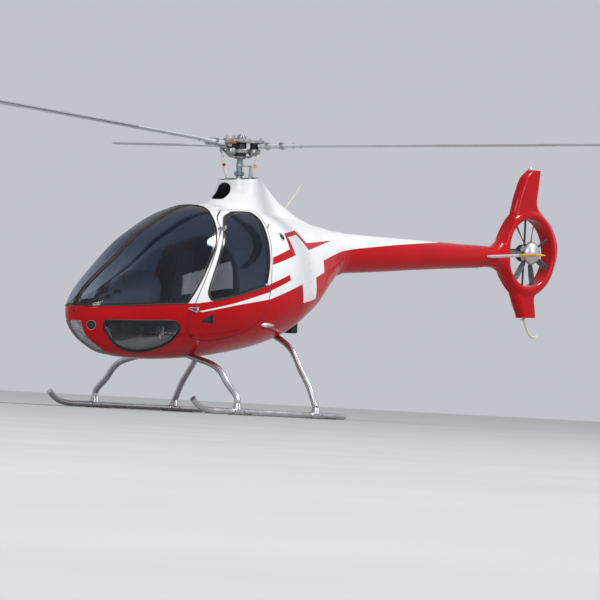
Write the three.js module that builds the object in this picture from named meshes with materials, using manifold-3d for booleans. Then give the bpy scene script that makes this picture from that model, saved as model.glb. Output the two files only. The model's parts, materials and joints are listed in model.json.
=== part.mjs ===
// A light two-seat helicopter on skids, with a three-blade rotor and a ducted tail fan.
// Millimetres, +Z up, nose toward -X, port side toward -Y, ground at Z = 0.
// Stations are written as distances aft of the rotor mast and moved by MAST_X at the end.
import * as THREE from 'three';
import { mergeVertices } from 'three/addons/utils/BufferGeometryUtils.js';
import Module from 'manifold-3d';

const wasm = await Module();
wasm.setup();

// Driving sizes
const ROTOR_RADIUS = 3600;
const BLADE_CHORD = 180;
const BLADE_THICK = 21;
const PRECONE = 0.045;
const ROTOR_Z = 2258;
const TAIL_END = 4374;
const MAST_X = -(TAIL_END - ROTOR_RADIUS) / 2;
const SHELL = 22;
const DOOR_THICK = 30;
const GLASS = 5;
const GAP = 0.3;
const DOOR_GAP = 7;
const FAN_X = 3928;
const FAN_Z = 1591;
const FAN_RADIUS = 298;
const DUCT_BORE = 308;
const SKID_Y = 808;
const SKID_Z = 28;
const TUBE_R = 25;

const PAINT = { white: 0xe9ecee, red: 0xb3161d, yellow: 0xe8b21c };
const group = new THREE.Group();

// Small helpers: smooth columns of a table, closed lofts, booleans and meshes
function column(table, xKey, key) {
  const x = table.map((r) => r[xKey]);
  const y = table.map((r) => r[key]);
  const n = x.length;
  const h = x.slice(1).map((v, i) => v - x[i]);
  const d = h.map((v, i) => (y[i + 1] - y[i]) / v);
  const m = x.map((v, i) => {
    if (i === 0) return d[0];
    if (i === n - 1) return d[n - 2];
    if (d[i - 1] * d[i] <= 0) return 0;
    const w1 = 2 * h[i] + h[i - 1];
    const w2 = h[i] + 2 * h[i - 1];
    return (w1 + w2) / (w1 / d[i - 1] + w2 / d[i]);
  });
  return (q) => {
    let i = 0;
    while (i < n - 2 && q > x[i + 1]) i += 1;
    const t = Math.min(Math.max((q - x[i]) / h[i], 0), 1);
    const t2 = t * t;
    const t3 = t2 * t;
    return (2 * t3 - 3 * t2 + 1) * y[i] + (t3 - 2 * t2 + t) * h[i] * m[i]
      + (3 * t2 - 2 * t3) * y[i + 1] + (t3 - t2) * h[i] * m[i + 1];
  };
}

function toSolid(geometry) {
  const g = (geometry.index ? geometry.toNonIndexed() : geometry).clone();
  for (const name of Object.keys(g.attributes)) {
    if (name !== 'position') g.deleteAttribute(name);
  }
  const merged = mergeVertices(g, 1e-4);
  const vertProperties = new Float32Array(merged.attributes.position.array);
  const triVerts = new Uint32Array(merged.index.array);
  return new wasm.Manifold(new wasm.Mesh({ numProp: 3, vertProperties, triVerts }));
}

function loft(rings) {
  const n = rings[0].length;
  const pos = rings.flat().flat();
  const index = [];
  for (let i = 0; i < rings.length - 1; i += 1) {
    for (let j = 0; j < n; j += 1) {
      const a = i * n + j;
      const b = i * n + ((j + 1) % n);
      index.push(a, a + n, b, b, a + n, b + n);
    }
  }
  const last = (rings.length - 1) * n;
  for (let j = 1; j < n - 1; j += 1) {
    index.push(0, j, j + 1, last, last + j + 1, last + j);
  }
  const g = new THREE.BufferGeometry();
  g.setAttribute('position', new THREE.Float32BufferAttribute(pos, 3));
  g.setIndex(index);
  const solid = toSolid(g);
  if (solid.volume() > 0) return solid;
  const flipped = index.slice();
  for (let k = 0; k < flipped.length; k += 3) [flipped[k], flipped[k + 1]] = [flipped[k + 1], flipped[k]];
  g.setIndex(flipped);
  return toSolid(g);
}

function placed(geometry, x, y, z, rx = 0, ry = 0, rz = 0) {
  const matrix = new THREE.Matrix4().makeRotationFromEuler(new THREE.Euler(rx, ry, rz, 'XYZ'));
  matrix.setPosition(x, y, z);
  return toSolid(geometry.clone().applyMatrix4(matrix));
}

const box = (x0, x1, y0, y1, z0, z1) => placed(new THREE.BoxGeometry(x1 - x0, y1 - y0, z1 - z0),
  (x0 + x1) / 2, (y0 + y1) / 2, (z0 + z1) / 2);
const ball = (x, y, z, r, sx = 1, sy = 1, sz = 1) => toSolid(new THREE.SphereGeometry(r, 10, 6)
  .scale(sx, sy, sz).translate(x, y, z));
const rodZ = (x, y, z0, z1, r, sides = 20) => placed(new THREE.CylinderGeometry(r, r, z1 - z0, sides),
  x, y, (z0 + z1) / 2, Math.PI / 2);
const rodY = (x, y0, y1, z, r, sides = 32) => placed(new THREE.CylinderGeometry(r, r, y1 - y0, sides),
  x, (y0 + y1) / 2, z);

function rodBetween(a, b, r, sides = 10) {
  const from = new THREE.Vector3(...a);
  const to = new THREE.Vector3(...b);
  const dir = to.clone().sub(from);
  const g = new THREE.CylinderGeometry(r, r, dir.length(), sides);
  const turn = new THREE.Quaternion().setFromUnitVectors(new THREE.Vector3(0, 1, 0), dir.clone().normalize());
  g.applyQuaternion(turn);
  g.translate(...from.add(to).multiplyScalar(0.5).toArray());
  return toSolid(g);
}

function tube(points, r, sides = 12, steps = 24) {
  const path = new THREE.CatmullRomCurve3(points.map((p) => new THREE.Vector3(...p)));
  const shape = new THREE.Shape();
  shape.absarc(0, 0, r, 0, Math.PI * 2);
  return toSolid(new THREE.ExtrudeGeometry(shape, { steps, curveSegments: sides / 2, extrudePath: path }));
}

// A side outline of [x, z] points pushed through from y0 to y1
function sidePrism(points, y0, y1, smooth = false, steps = 40) {
  let outline = points.map((p) => new THREE.Vector2(p[0], p[1]));
  if (smooth) outline = new THREE.SplineCurve([...outline, outline[0]]).getPoints(steps).slice(0, -1);
  const g = new THREE.ExtrudeGeometry(new THREE.Shape(outline), { depth: y1 - y0, bevelEnabled: false });
  g.rotateX(Math.PI / 2);
  g.translate(0, y1, 0);
  return toSolid(g);
}

function grown(points, by) {
  const n = points.length;
  const area = points.reduce((s, p, i) => s + p[0] * points[(i + 1) % n][1] - points[(i + 1) % n][0] * p[1], 0);
  const sign = area > 0 ? 1 : -1;
  return points.map((p, i) => {
    const a = points[(i + n - 1) % n];
    const b = points[(i + 1) % n];
    const t = [b[0] - a[0], b[1] - a[1]];
    const len = Math.hypot(...t);
    return [p[0] + (sign * by * t[1]) / len, p[1] - (sign * by * t[0]) / len];
  });
}

const mirrored = (solid) => solid.mirror([0, 1, 0]);
const join = (...solids) => solids.reduce((a, b) => a.add(b));

// Slivers that a cut leaves at a sharp edge are dropped
const wholePiece = (solid) => solid.decompose().sort((a, b) => b.volume() - a.volume())[0];

function add(name, solid, color, roughness = 0.4, metalness = 0, opacity = 1) {
  const mesh = wholePiece(solid).getMesh();
  const g = new THREE.BufferGeometry();
  const count = mesh.vertProperties.length / mesh.numProp;
  const pos = new Float32Array(count * 3);
  for (let i = 0; i < count; i += 1) {
    pos[i * 3] = mesh.vertProperties[i * mesh.numProp] + MAST_X;
    pos[i * 3 + 1] = mesh.vertProperties[i * mesh.numProp + 1];
    pos[i * 3 + 2] = mesh.vertProperties[i * mesh.numProp + 2];
  }
  g.setAttribute('position', new THREE.BufferAttribute(pos, 3));
  g.setIndex(new THREE.BufferAttribute(new Uint32Array(mesh.triVerts), 1));
  g.computeVertexNormals();
  const material = new THREE.MeshStandardMaterial({ color, roughness, metalness });
  material.transparent = opacity < 1;
  material.opacity = opacity;
  const node = new THREE.Mesh(g, material);
  node.name = name;
  group.add(node);
}

// Fuselage body: superellipse sections from nose to tail boom
const HULL = [
  { x: -1910, low: 780, mid: 780, top: 780, half: 0, squareLow: 2.0, squareTop: 2.0 },
  { x: -1840, low: 590, mid: 790, top: 935, half: 165, squareLow: 2.0, squareTop: 2.0 },
  { x: -1700, low: 500, mid: 845, top: 1065, half: 262, squareLow: 2.0, squareTop: 2.05 },
  { x: -1500, low: 440, mid: 870, top: 1220, half: 375, squareLow: 2.05, squareTop: 2.1 },
  { x: -1100, low: 420, mid: 900, top: 1520, half: 530, squareLow: 2.1, squareTop: 2.15 },
  { x: -600, low: 453, mid: 950, top: 1725, half: 640, squareLow: 2.15, squareTop: 2.2 },
  { x: -200, low: 513, mid: 980, top: 1755, half: 650, squareLow: 2.15, squareTop: 2.25 },
  { x: 200, low: 610, mid: 1020, top: 1740, half: 605, squareLow: 2.1, squareTop: 2.2 },
  { x: 600, low: 800, mid: 1120, top: 1690, half: 475, squareLow: 2.0, squareTop: 2.1 },
  { x: 850, low: 975, mid: 1240, top: 1660, half: 360, squareLow: 2.0, squareTop: 2.0 },
  { x: 1050, low: 1120, mid: 1340, top: 1640, half: 265, squareLow: 2.0, squareTop: 2.0 },
  { x: 1200, low: 1220, mid: 1420, top: 1622, half: 190, squareLow: 2.0, squareTop: 2.0 },
  { x: 1400, low: 1250, mid: 1430, top: 1615, half: 160, squareLow: 2.0, squareTop: 2.0 },
];
const NOSE = HULL[0].x;
const HULL_END = HULL[HULL.length - 1].x;
const hullTable = HULL.map((r) => ({ ...r, s: Math.sqrt(r.x - NOSE) }));
const hullAt = Object.fromEntries(['low', 'mid', 'top', 'half', 'squareLow', 'squareTop']
  .map((k) => [k, column(hullTable, 's', k)]));

function hullRing(x, inset, sides) {
  const s = Math.sqrt(Math.max(x - NOSE, 0));
  const half = Math.max(hullAt.half(s) - inset, 1.5);
  const mid = hullAt.mid(s);
  const up = Math.max(hullAt.top(s) - mid - inset, 1.5);
  const down = Math.max(mid - hullAt.low(s) - inset, 1.5);
  return Array.from({ length: sides }, (_, i) => {
    const a = (i / sides) * Math.PI * 2;
    const c = Math.cos(a);
    const q = Math.sin(a);
    const e = 2 / (q >= 0 ? hullAt.squareTop(s) : hullAt.squareLow(s));
    return [x, half * Math.sign(c) * Math.abs(c) ** e,
      mid + (q >= 0 ? up : down) * Math.sign(q) * Math.abs(q) ** e];
  });
}

function hullSolid(inset, stations = 18, sides = 28) {
  const s0 = Math.sqrt(Math.round(inset / 10) * 9 + 0.5);
  const s1 = Math.sqrt(HULL_END - NOSE);
  const rings = [];
  for (let i = 0; i <= stations; i += 1) {
    const s = s0 + ((s1 - s0) * i) / stations;
    rings.push(hullRing(NOSE + s * s, inset, sides));
  }
  return loft(rings);
}

const hullOuter = hullSolid(0);
const shellInner = hullSolid(SHELL, 18, 28);
const doorInner = hullSolid(DOOR_THICK, 12, 20);
const glassOuter = hullSolid(2);
const glassInner = hullSolid(2 + GLASS);

// Mast fairing on the roof: horizontal rings from the roof up to the open rim
const FAIRING = [
  { z: 1600, front: 400, rear: 1110, half: 262 },
  { z: 1660, front: 375, rear: 850, half: 256 },
  { z: 1700, front: 352, rear: 720, half: 246 },
  { z: 1770, front: 302, rear: 549, half: 226 },
  { z: 1820, front: 254, rear: 443, half: 210 },
  { z: 1875, front: 207, rear: 346, half: 198 },
  { z: 1936, front: 188, rear: 257, half: 188 },
  { z: 2000, front: 182, rear: 190, half: 182 },
];
const RIM_SLOPE = 0.124;
const RIM_DROP = 15;
function fairingSolid(inset, stations = 6, sides = 20) {
  const at = Object.fromEntries(['front', 'rear', 'half'].map((k) => [k, column(FAIRING, 'z', k)]));
  const rings = [];
  for (let i = 0; i <= stations; i += 1) {
    const z = 1600 + (400 * i) / stations;
    rings.push(Array.from({ length: sides }, (_, j) => {
      const a = (j / sides) * Math.PI * 2;
      const c = Math.cos(a);
      const x = ((c > 0 ? at.rear(z) : at.front(z)) - inset) * c;
      const leaned = Math.max(z - 1800, 0) / 200;
      const top = z + leaned * (RIM_SLOPE * x - RIM_DROP) + (inset && i === stations ? 5 : 0);
      return [x, (at.half(z) - inset) * Math.sin(a), top];
    }));
  }
  return loft(rings);
}

// Side outlines, [distance aft of mast, height]
const DOOR_OUTLINE = [[-1073, 732], [-1054, 669], [-996, 623], [-919, 603], [-794, 603], [-645, 629],
  [-526, 663], [-388, 720], [-339, 797], [-290, 882], [-265, 1000], [-250, 1107], [-222, 1275], [-175, 1447],
  [-125, 1603], [-80, 1700], [-60, 1800], [-430, 1800], [-442, 1715], [-505, 1681], [-610, 1629],
  [-656, 1581], [-677, 1529], [-768, 1406], [-868, 1250], [-949, 1106], [-1013, 979], [-1057, 863]];
const DOOR_TOP_Y = 262;
const WINDOW_OUTLINE = [[-935, 1000], [-922, 950], [-884, 925], [-760, 950], [-620, 985], [-360, 1059],
  [-310, 1085], [-289, 1130], [-251, 1256], [-214, 1401], [-181, 1530], [-152, 1617], [-150, 1655],
  [-172, 1700], [-215, 1780], [-370, 1780], [-385, 1700], [-430, 1673], [-545, 1632], [-622, 1567],
  [-672, 1495], [-730, 1408], [-822, 1253], [-895, 1109]];
const WINDOW_TOP_Y = 298;
const SCREEN_OUTLINE = [[-1960, 811], [-1882, 818], [-1594, 844], [-1361, 867], [-1150, 886], [-1112, 905],
  [-1008, 1061], [-912, 1215], [-813, 1361], [-739, 1491], [-669, 1624], [-604, 1708], [-560, 1800],
  [-1960, 1800]];
const CHIN_OUTLINE = [[-1759, 691], [-1735, 716], [-1502, 727], [-1240, 740], [-1175, 722], [-1136, 681],
  [-1134, 641], [-1153, 575], [-1205, 517], [-1285, 481], [-1363, 469], [-1501, 487], [-1612, 530],
  [-1698, 598], [-1750, 650]];
const LAMP_OUTLINE = [[-1960, 700], [-1700, 700], [-1500, 640], [-1389, 500], [-1389, 380], [-1960, 380]];
const LAMP_HALF = 66;
const COWL_X = 330;

const doorHole = sidePrism(grown(DOOR_OUTLINE, DOOR_GAP), -800, -DOOR_TOP_Y + DOOR_GAP);
const doorShape = sidePrism(DOOR_OUTLINE, -800, -DOOR_TOP_Y);
const windowHole = sidePrism(WINDOW_OUTLINE, -800, -WINDOW_TOP_Y);
const windowFill = sidePrism(grown(WINDOW_OUTLINE, -GAP), -800, -WINDOW_TOP_Y - GAP);
const screenHole = sidePrism(SCREEN_OUTLINE, -800, 800);
const screenFill = sidePrism(grown(SCREEN_OUTLINE, -GAP), -800, 800);
const chinHole = sidePrism(CHIN_OUTLINE, -800, -90);
const chinFill = sidePrism(grown(CHIN_OUTLINE, -GAP), -800, -90 - GAP);
const lampHole = sidePrism(LAMP_OUTLINE, -LAMP_HALF, LAMP_HALF);
const lampFill = sidePrism(grown(LAMP_OUTLINE, -GAP), -LAMP_HALF + GAP, LAMP_HALF - GAP);
const VENT = { x: -1834, y: 131, z: 668, r: 36 };
const ventHole = (side) => placed(new THREE.CylinderGeometry(VENT.r, VENT.r, 160, 24),
  VENT.x, side * VENT.y, VENT.z, 0, 0, side * 0.75);
const mastHole = rodZ(0, 0, 1500, 2100, 150, 32);

// Rear edge of the hull: the boom takes over here
const BOOM_START = 1290;
const hullKeep = box(-2000, BOOM_START, -800, 800, 300, 2000);
const shell = hullOuter.subtract(shellInner).intersect(hullKeep);
const bothSides = (solid) => solid.add(mirrored(solid));
const openings = join(bothSides(doorHole), screenHole, bothSides(chinHole), lampHole, ventHole(-1), ventHole(1),
  mastHole);
const cabinSide = box(-2000, COWL_X - GAP, -800, 800, 300, 2000);
const cowlSide = box(COWL_X, BOOM_START, -800, 800, 300, 2000);

// Cross tubes of the landing gear, bowed legs on [y, z] points, pass through the belly of the hull
const CROSS_TUBES = [
  { name: 'cross_tube_front', x: -768, side: [[SKID_Y - 14, 150], [687, 250], [600, 350], [500, 405], [293, 457], [150, 492]], crownZ: 500 },
  { name: 'cross_tube_rear', x: 213, side: [[SKID_Y - 24, 130], [722, 255], [616, 400], [500, 566], [329, 668], [160, 712]], crownZ: 722 },
];
const FOOT_TOP = SKID_Z + TUBE_R + 42;
const gearSolids = {};
const gearCuts = {};
for (const t of CROSS_TUBES) {
  const leg = (s) => [[SKID_Y - 4, FOOT_TOP - 30], ...t.side].map(([y, z]) => [t.x, s * y, z]);
  const points = [...leg(-1), [t.x, 0, t.crownZ], ...leg(1).reverse()];
  gearSolids[t.name] = tube(points, 26, 10, 34);
  gearCuts[t.name] = tube(points, 26 + GAP, 10, 34);
}

// Centre post and screen rim belong to the cabin shell
const postBar = shell.intersect(box(-1900, -560, -14, 14, 820, 1800)).intersect(screenHole);
const cabin = shell.subtract(openings).add(postBar).intersect(cabinSide)
  .subtract(gearCuts.cross_tube_front).subtract(gearCuts.cross_tube_rear);
const EXHAUST = [668, 752, -90, 20];
const [ex0, ex1, ey0, ey1] = EXHAUST;
const exhaustHole = box(ex0 - GAP, ex1 + GAP, ey0 - GAP, ey1 + GAP, 600, 960);
const cowl = shell.intersect(cowlSide).subtract(exhaustHole);
add('engine_cowling', cowl, PAINT.white, 0.3);

// Windscreen and chin windows, split at the centre post
const glassSkin = glassOuter.subtract(glassInner);
const screen = glassSkin.intersect(screenFill);
const screenPort = screen.intersect(box(-2000, 0, -800, -14 - GAP, 300, 2000));
add('windscreen_port', screenPort, 0x9fb2bb, 0.05, 0, 0.3);
add('windscreen_starboard', mirrored(screenPort), 0x9fb2bb, 0.05, 0, 0.3);
const chin = glassSkin.intersect(chinFill);
add('chin_window_port', chin, 0x9fb2bb, 0.05, 0, 0.3);
add('chin_window_starboard', mirrored(chin), 0x9fb2bb, 0.05, 0, 0.3);
add('nose_lamp_cover', glassSkin.intersect(lampFill), 0xe8eef0, 0.05, 0, 0.3);

// Doors: one moulded panel each, with its window
const doorPanel = hullOuter.subtract(doorInner).intersect(doorShape).subtract(windowHole);
const doorGlass = glassSkin.intersect(windowFill);
// Each door hangs on two pins along one slanted line outside its front edge
const HINGE_LOW = new THREE.Vector3(-1075, -590, 839);
const HINGE_TOP = new THREE.Vector3(-690, -500, 1529);
const HINGE_DIR = HINGE_TOP.clone().sub(HINGE_LOW).normalize();
const along = (p, t) => p.clone().addScaledVector(HINGE_DIR, t).toArray();
const HINGES = [
  { at: HINGE_LOW, door: [-1030, -535, 852], body: [-1112, -505, 852] },
  { at: HINGE_TOP, door: [-660, -432, 1533], body: [-704, -415, 1524] },
];
let doorArms = doorPanel;
let pins = null;
for (const h of HINGES) {
  const eye = join(rodBetween(along(h.at, -9), along(h.at, 9), 12, 10), rodBetween(along(h.at, 0), h.door, 7, 6))
    .subtract(doorInner).subtract(rodBetween(along(h.at, -40), along(h.at, 40), 5.6, 8));
  doorArms = doorArms.add(eye);
  const bracket = join(rodBetween(along(h.at, -26), along(h.at, 26), 5, 8),
    rodBetween(along(h.at, -20), h.body, 6, 6), rodBetween(along(h.at, 20), h.body, 6, 6));
  pins = pins ? pins.add(bracket) : bracket;
}
add('cabin_shell', cabin.add(bothSides(pins.subtract(hullSolid(8)))), PAINT.white, 0.3);
add('door_panel_port', doorArms, PAINT.white, 0.3);
add('door_panel_starboard', mirrored(doorArms), PAINT.white, 0.3);
add('door_window_port', doorGlass, 0x9fb2bb, 0.05, 0, 0.3);
add('door_window_starboard', mirrored(doorGlass), 0x9fb2bb, 0.05, 0, 0.3);

// Mast fairing with one air hole in its front, as [y, z] seen from ahead
const FAIRING_HOLE = [[-62, 1797], [0, 1795], [62, 1797], [76, 1820], [78, 1860], [70, 1900], [48, 1930], [0, 1941],
  [-48, 1930], [-70, 1900], [-78, 1860], [-76, 1820]];
const holeShape = new THREE.Shape(FAIRING_HOLE.map(([y, z]) => new THREE.Vector2(-y, z)));
const holeGeometry = new THREE.ExtrudeGeometry(holeShape, { depth: 300, bevelEnabled: false });
holeGeometry.rotateX(Math.PI / 2).rotateZ(-Math.PI / 2).translate(-60, 0, 0);
const fairingHole = toSolid(holeGeometry);
const fairing = fairingSolid(0).subtract(fairingSolid(16)).subtract(hullSolid(-GAP))
  .subtract(fairingHole);
add('mast_fairing', fairing, PAINT.white, 0.3);

// Cabin interior: floor, bulkhead, console, seats and hand controls
const inside = hullSolid(DOOR_THICK + 8, 12, 20);
const fitted = hullSolid(SHELL + GAP, 18, 28);
const BULKHEAD_FRONT = [[-300, 430], [-275, 882], [-235, 1107], [-205, 1275], [-158, 1447], [-108, 1603], [-45, 1780]];
const BULKHEAD_THICK = 18;
const bulkheadSlab = sidePrism([...BULKHEAD_FRONT, ...BULKHEAD_FRONT.map(([x, z]) => [x + BULKHEAD_THICK, z]).reverse()],
  -700, 700);
add('cabin_bulkhead', bulkheadSlab.intersect(fitted), 0x3b3e41, 0.8);
const FLOOR_Z = 585;
const floor = box(-1500, -310, -700, 700, FLOOR_Z - 25, FLOOR_Z).intersect(fitted);
add('cabin_floor', floor, 0x4a4d50, 0.8);
const CONSOLE = [
  { x: -1800, low: 720, top: 815, half: 60 },
  { x: -1600, low: 705, top: 900, half: 110 },
  { x: -1380, low: 705, top: 1010, half: 150 },
  { x: -1220, low: 715, top: 1130, half: 210 },
  { x: -1130, low: 760, top: 1150, half: 225 },
];
const consoleRings = CONSOLE.map((r) => Array.from({ length: 20 }, (_, i) => {
  const a = (i / 20) * Math.PI * 2;
  const e = 0.7;
  return [r.x, r.half * Math.sign(Math.cos(a)) * Math.abs(Math.cos(a)) ** e,
    (r.low + r.top) / 2 + ((r.top - r.low) / 2) * Math.sign(Math.sin(a)) * Math.abs(Math.sin(a)) ** e];
}));
const pedestal = box(-1420, -1180, -75, 75, 585 + GAP, 800);
const consoleSolid = join(loft(consoleRings), pedestal).intersect(inside);
add('instrument_console', consoleSolid, 0x5b6065, 0.7);
const strutLine = [[-1715, 0, 830], [-1510, 0, 1112], [-1310, 0, 1334], [-1190, 0, 1446]];
add('screen_strut', tube(strutLine, 11, 10, 24).intersect(fitted).subtract(consoleSolid), 0x2a2c2e, 0.5);

const SEAT_Y = 270;
const SEAT_HALF = 190;
const seatPan = sidePrism([[-780, FLOOR_Z + GAP], [-330, FLOOR_Z + GAP], [-300, 640], [-330, 830], [-420, 845],
  [-700, 880], [-770, 850]], -SEAT_Y - SEAT_HALF, -SEAT_Y + SEAT_HALF);
const seatBack = sidePrism([[-320, 760], [-185, 1380], [-172, 1480], [-225, 1492], [-258, 1400], [-440, 800]],
  -SEAT_Y - SEAT_HALF + 8, -SEAT_Y + SEAT_HALF - 8);
const seat = join(seatPan, seatBack).intersect(inside);
add('seat_port', seat, 0x8b8f92, 0.9);
add('seat_starboard', mirrored(seat), 0x8b8f92, 0.9);

const stick = join(tube([[-850, 0, 600], [-880, 0, 760], [-915, 0, 900], [-895, 0, 985]], 13, 8, 6),
  ball(-893, 0, 985, 26, 1, 1, 1.5), rodZ(-850, 0, FLOOR_Z + GAP, 620, 40, 12)).translate(0, -SEAT_Y, 0);
add('cyclic_port', stick, 0x2a2c2e, 0.6);
add('cyclic_starboard', mirrored(stick), 0x2a2c2e, 0.6);
const lever = (z) => join(rodBetween([-380, 0, z], [-640, 0, z + 120], 13),
  rodBetween([-560, 0, z + 83], [-660, 0, z + 129], 16));
add('collective_port', join(lever(722).translate(0, -478, 0),
  box(-402, -358, -492, -SEAT_Y - SEAT_HALF - GAP, 700, 748)), 0x2a2c2e, 0.6);
add('collective_starboard', join(lever(650).translate(0, 38, 0), rodZ(-380, 38, 585 + GAP, 665, 20)),
  0x2a2c2e, 0.6);
const pedal = join(box(-1290, -1278, -150, -70, 612, 690), box(-1290, -1278, 70, 150, 612, 690),
  rodBetween([-1284, -110, 585 + GAP], [-1284, -110, 640], 11), rodBetween([-1284, 110, 585 + GAP], [-1284, 110, 640], 11),
  rodBetween([-1284, -130, 630], [-1284, 130, 630], 9));
add('pedals_port', pedal.translate(0, -SEAT_Y, 0).intersect(inside), 0x2a2c2e, 0.6);
add('pedals_starboard', pedal.translate(0, SEAT_Y, 0).intersect(inside), 0x2a2c2e, 0.6);

// Engine and main gearbox: the heavy masses behind the bulkhead
add('engine_block', box(210, 640, -190, 190, 1000, 1330), 0x6a6d70, 0.5, 0.6);
const MAST_FOOT = 1560;
const gearbox = join(rodZ(0, 0, 1300, MAST_FOOT + 26, 95, 20), box(-260, 210 - GAP, -85, 85, 1180, 1345))
  .subtract(rodZ(0, 0, MAST_FOOT - 0.6, 1700, 30.6, 16)).subtract(bulkheadSlab.translate(GAP, 0, 0))
  .subtract(bulkheadSlab).subtract(box(-800, -150, -300, 300, 1000, 1800).subtract(box(-225, -150, -300, 300, 1000, 1800)));
add('main_gearbox', gearbox, 0x6a6d70, 0.5, 0.6);

// Tail boom, fin with fan duct, and stabiliser
const BOOM = [
  { x: BOOM_START, low: 1256, top: 1611, half: 148 },
  { x: 1750, low: 1293, top: 1611, half: 135 },
  { x: 2300, low: 1342, top: 1614, half: 120 },
  { x: 3000, low: 1400, top: 1617, half: 98 },
  { x: 3470, low: 1434, top: 1627, half: 84 },
];
const boomRings = BOOM.map((r) => Array.from({ length: 36 }, (_, i) => {
  const a = (i / 36) * Math.PI * 2;
  return [r.x + (r.x === BOOM_START ? GAP : 0), r.half * Math.cos(a),
    (r.low + r.top) / 2 + ((r.top - r.low) / 2) * Math.sin(a)];
}));
const FIN_OUTLINE = [[3430, 1627], [3565, 1720], [3675, 1890], [3740, 2094], [3807, 2253], [3849, 2302],
  [3921, 2342], [3990, 2348], [4060, 2346], [4056, 2210], [4043, 2035], [4155, 1943], [4261, 1869], [4354, 1729],
  [TAIL_END, 1620], [4350, 1500], [4278, 1386], [4178, 1289], [4077, 1219], [4064, 1182], [4081, 1101],
  [4099, 1011], [3980, 992], [3866, 998], [3804, 1103], [3742, 1217], [3681, 1304], [3577, 1387], [3430, 1434]];
const finShape = new THREE.Shape(FIN_OUTLINE.map((p) => new THREE.Vector2(...p)));
const finGeometry = new THREE.ExtrudeGeometry(finShape, { depth: 24, bevelEnabled: true, bevelThickness: 40,
  bevelSize: 42, bevelOffset: -42, bevelSegments: 3 });
finGeometry.rotateX(Math.PI / 2).translate(0, 12, 0);
const DUCT_LIP = [[-10, 46], [6, 64], [26, 75], [52, 72], [80, 52], [98, 28]];
const lipSide = (side) => DUCT_LIP.map(([r, y]) => new THREE.Vector2(DUCT_BORE + r, side * y));
const ductRing = new THREE.LatheGeometry([...lipSide(-1), ...lipSide(1).reverse(), lipSide(-1)[0]], 32);
const duct = placed(ductRing, FAN_X, 0, FAN_Z);
const FLARE = [
  { x: 3400, low: 1431, top: 1622, half: 86 },
  { x: 3470, low: 1428, top: 1646, half: 84 },
  { x: 3530, low: 1408, top: 1692, half: 81 },
  { x: 3590, low: 1374, top: 1756, half: 77 },
  { x: 3650, low: 1328, top: 1846, half: 70 },
  { x: 3700, low: 1272, top: 1960, half: 58 },
];
const flare = loft(FLARE.map((r) => Array.from({ length: 24 }, (_, i) => {
  const a = (i / 24) * Math.PI * 2;
  return [r.x, r.half * Math.cos(a), (r.low + r.top) / 2 + ((r.top - r.low) / 2) * Math.sin(a)];
})));
const finWhole = join(toSolid(finGeometry), duct.intersect(sidePrism(grown(FIN_OUTLINE, 1), -200, 200)), flare);
const fin = finWhole.subtract(rodY(FAN_X, -200, 200, FAN_Z, DUCT_BORE, 30));
add('tail_boom', loft(boomRings).subtract(hullSolid(GAP).subtract(box(BOOM_START, 2000, -800, 800, 0, 3000))),
  PAINT.red, 0.3);
add('fin_and_duct', fin.subtract(loft(boomRings.map((r) => r.map((p) => [p[0] + 0.6 * (p[0] > 3400), p[1] * 1.004,
  (p[2] - 1530) * 1.004 + 1530])))), PAINT.red, 0.3);
const STAB = { rootX0: 3268, rootX1: 3450, tipX0: 3300, tipX1: 3450, half: 632, z: 1520, thick: 26 };
const stabShape = new THREE.Shape([[STAB.rootX0, 0], [STAB.tipX0, STAB.half], [STAB.tipX1, STAB.half],
  [STAB.rootX1, 0], [STAB.tipX1, -STAB.half], [STAB.tipX0, -STAB.half]].map((p) => new THREE.Vector2(...p)));
const stabFlat = placed(new THREE.ExtrudeGeometry(stabShape, { depth: 6, bevelEnabled: true, bevelThickness: 10,
  bevelSize: 10, bevelOffset: -10, bevelSegments: 2 }), 0, 0, STAB.z - 3);
const stab = stabFlat.refineToLength(200).warp((v) => { v[2] += Math.abs(v[1]) * 0.05; });
const boomBig = loft(boomRings.map((r) => r.map((p) => [p[0], p[1] * 1.004, (p[2] - 1522) * 1.004 + 1522])));
const stabCut = stab.subtract(boomBig).subtract(finWhole);
add('stabiliser_port', stabCut.intersect(box(3000, 3600, -800, -20, 1400, 1700)), PAINT.yellow, 0.3);
add('stabiliser_starboard', stabCut.intersect(box(3000, 3600, 20, 800, 1400, 1700)), PAINT.yellow, 0.3);

// Tail fan: hub, seven blades, and the gearbox pod on its struts
const FAN_BLADES = 7;
const SPINNER_R = 106;
const spinner = toSolid(new THREE.SphereGeometry(SPINNER_R, 24, 12).scale(1, 0.62, 1).translate(FAN_X, -66, FAN_Z));
let fan = join(rodY(FAN_X, -68, -3, FAN_Z, 84, 28), spinner.intersect(box(3000, 5000, -300, -64, 0, 3000)),
  rodY(FAN_X, -8, 32, FAN_Z, 20, 16));
for (let i = 0; i < FAN_BLADES; i += 1) {
  const blade = new THREE.BoxGeometry(58, 9, FAN_RADIUS - 60);
  blade.rotateZ(0.55).translate(0, -42, 60 + (FAN_RADIUS - 60) / 2);
  blade.rotateY((i * Math.PI * 2) / FAN_BLADES + 0.2);
  fan = fan.add(placed(blade, FAN_X, 0, FAN_Z));
}
add('tail_fan', fan, 0xc8ccd0, 0.35, 0.7);
const strut = (angle, width = 32) => {
  const g = new THREE.BoxGeometry(width, 16, DUCT_BORE - 72);
  g.translate(0, 15, 70 + (DUCT_BORE - 72) / 2).rotateY(angle);
  return placed(g, FAN_X, 0, FAN_Z);
};
const pod = join(rodY(FAN_X, 6, 92, FAN_Z, 78, 24), strut(0), strut(Math.PI), strut(-Math.PI / 2, 60))
  .subtract(rodY(FAN_X, -28, 32.6, FAN_Z, 20.6, 16));
add('fan_gearbox', pod, 0x232527, 0.5, 0.3);

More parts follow.
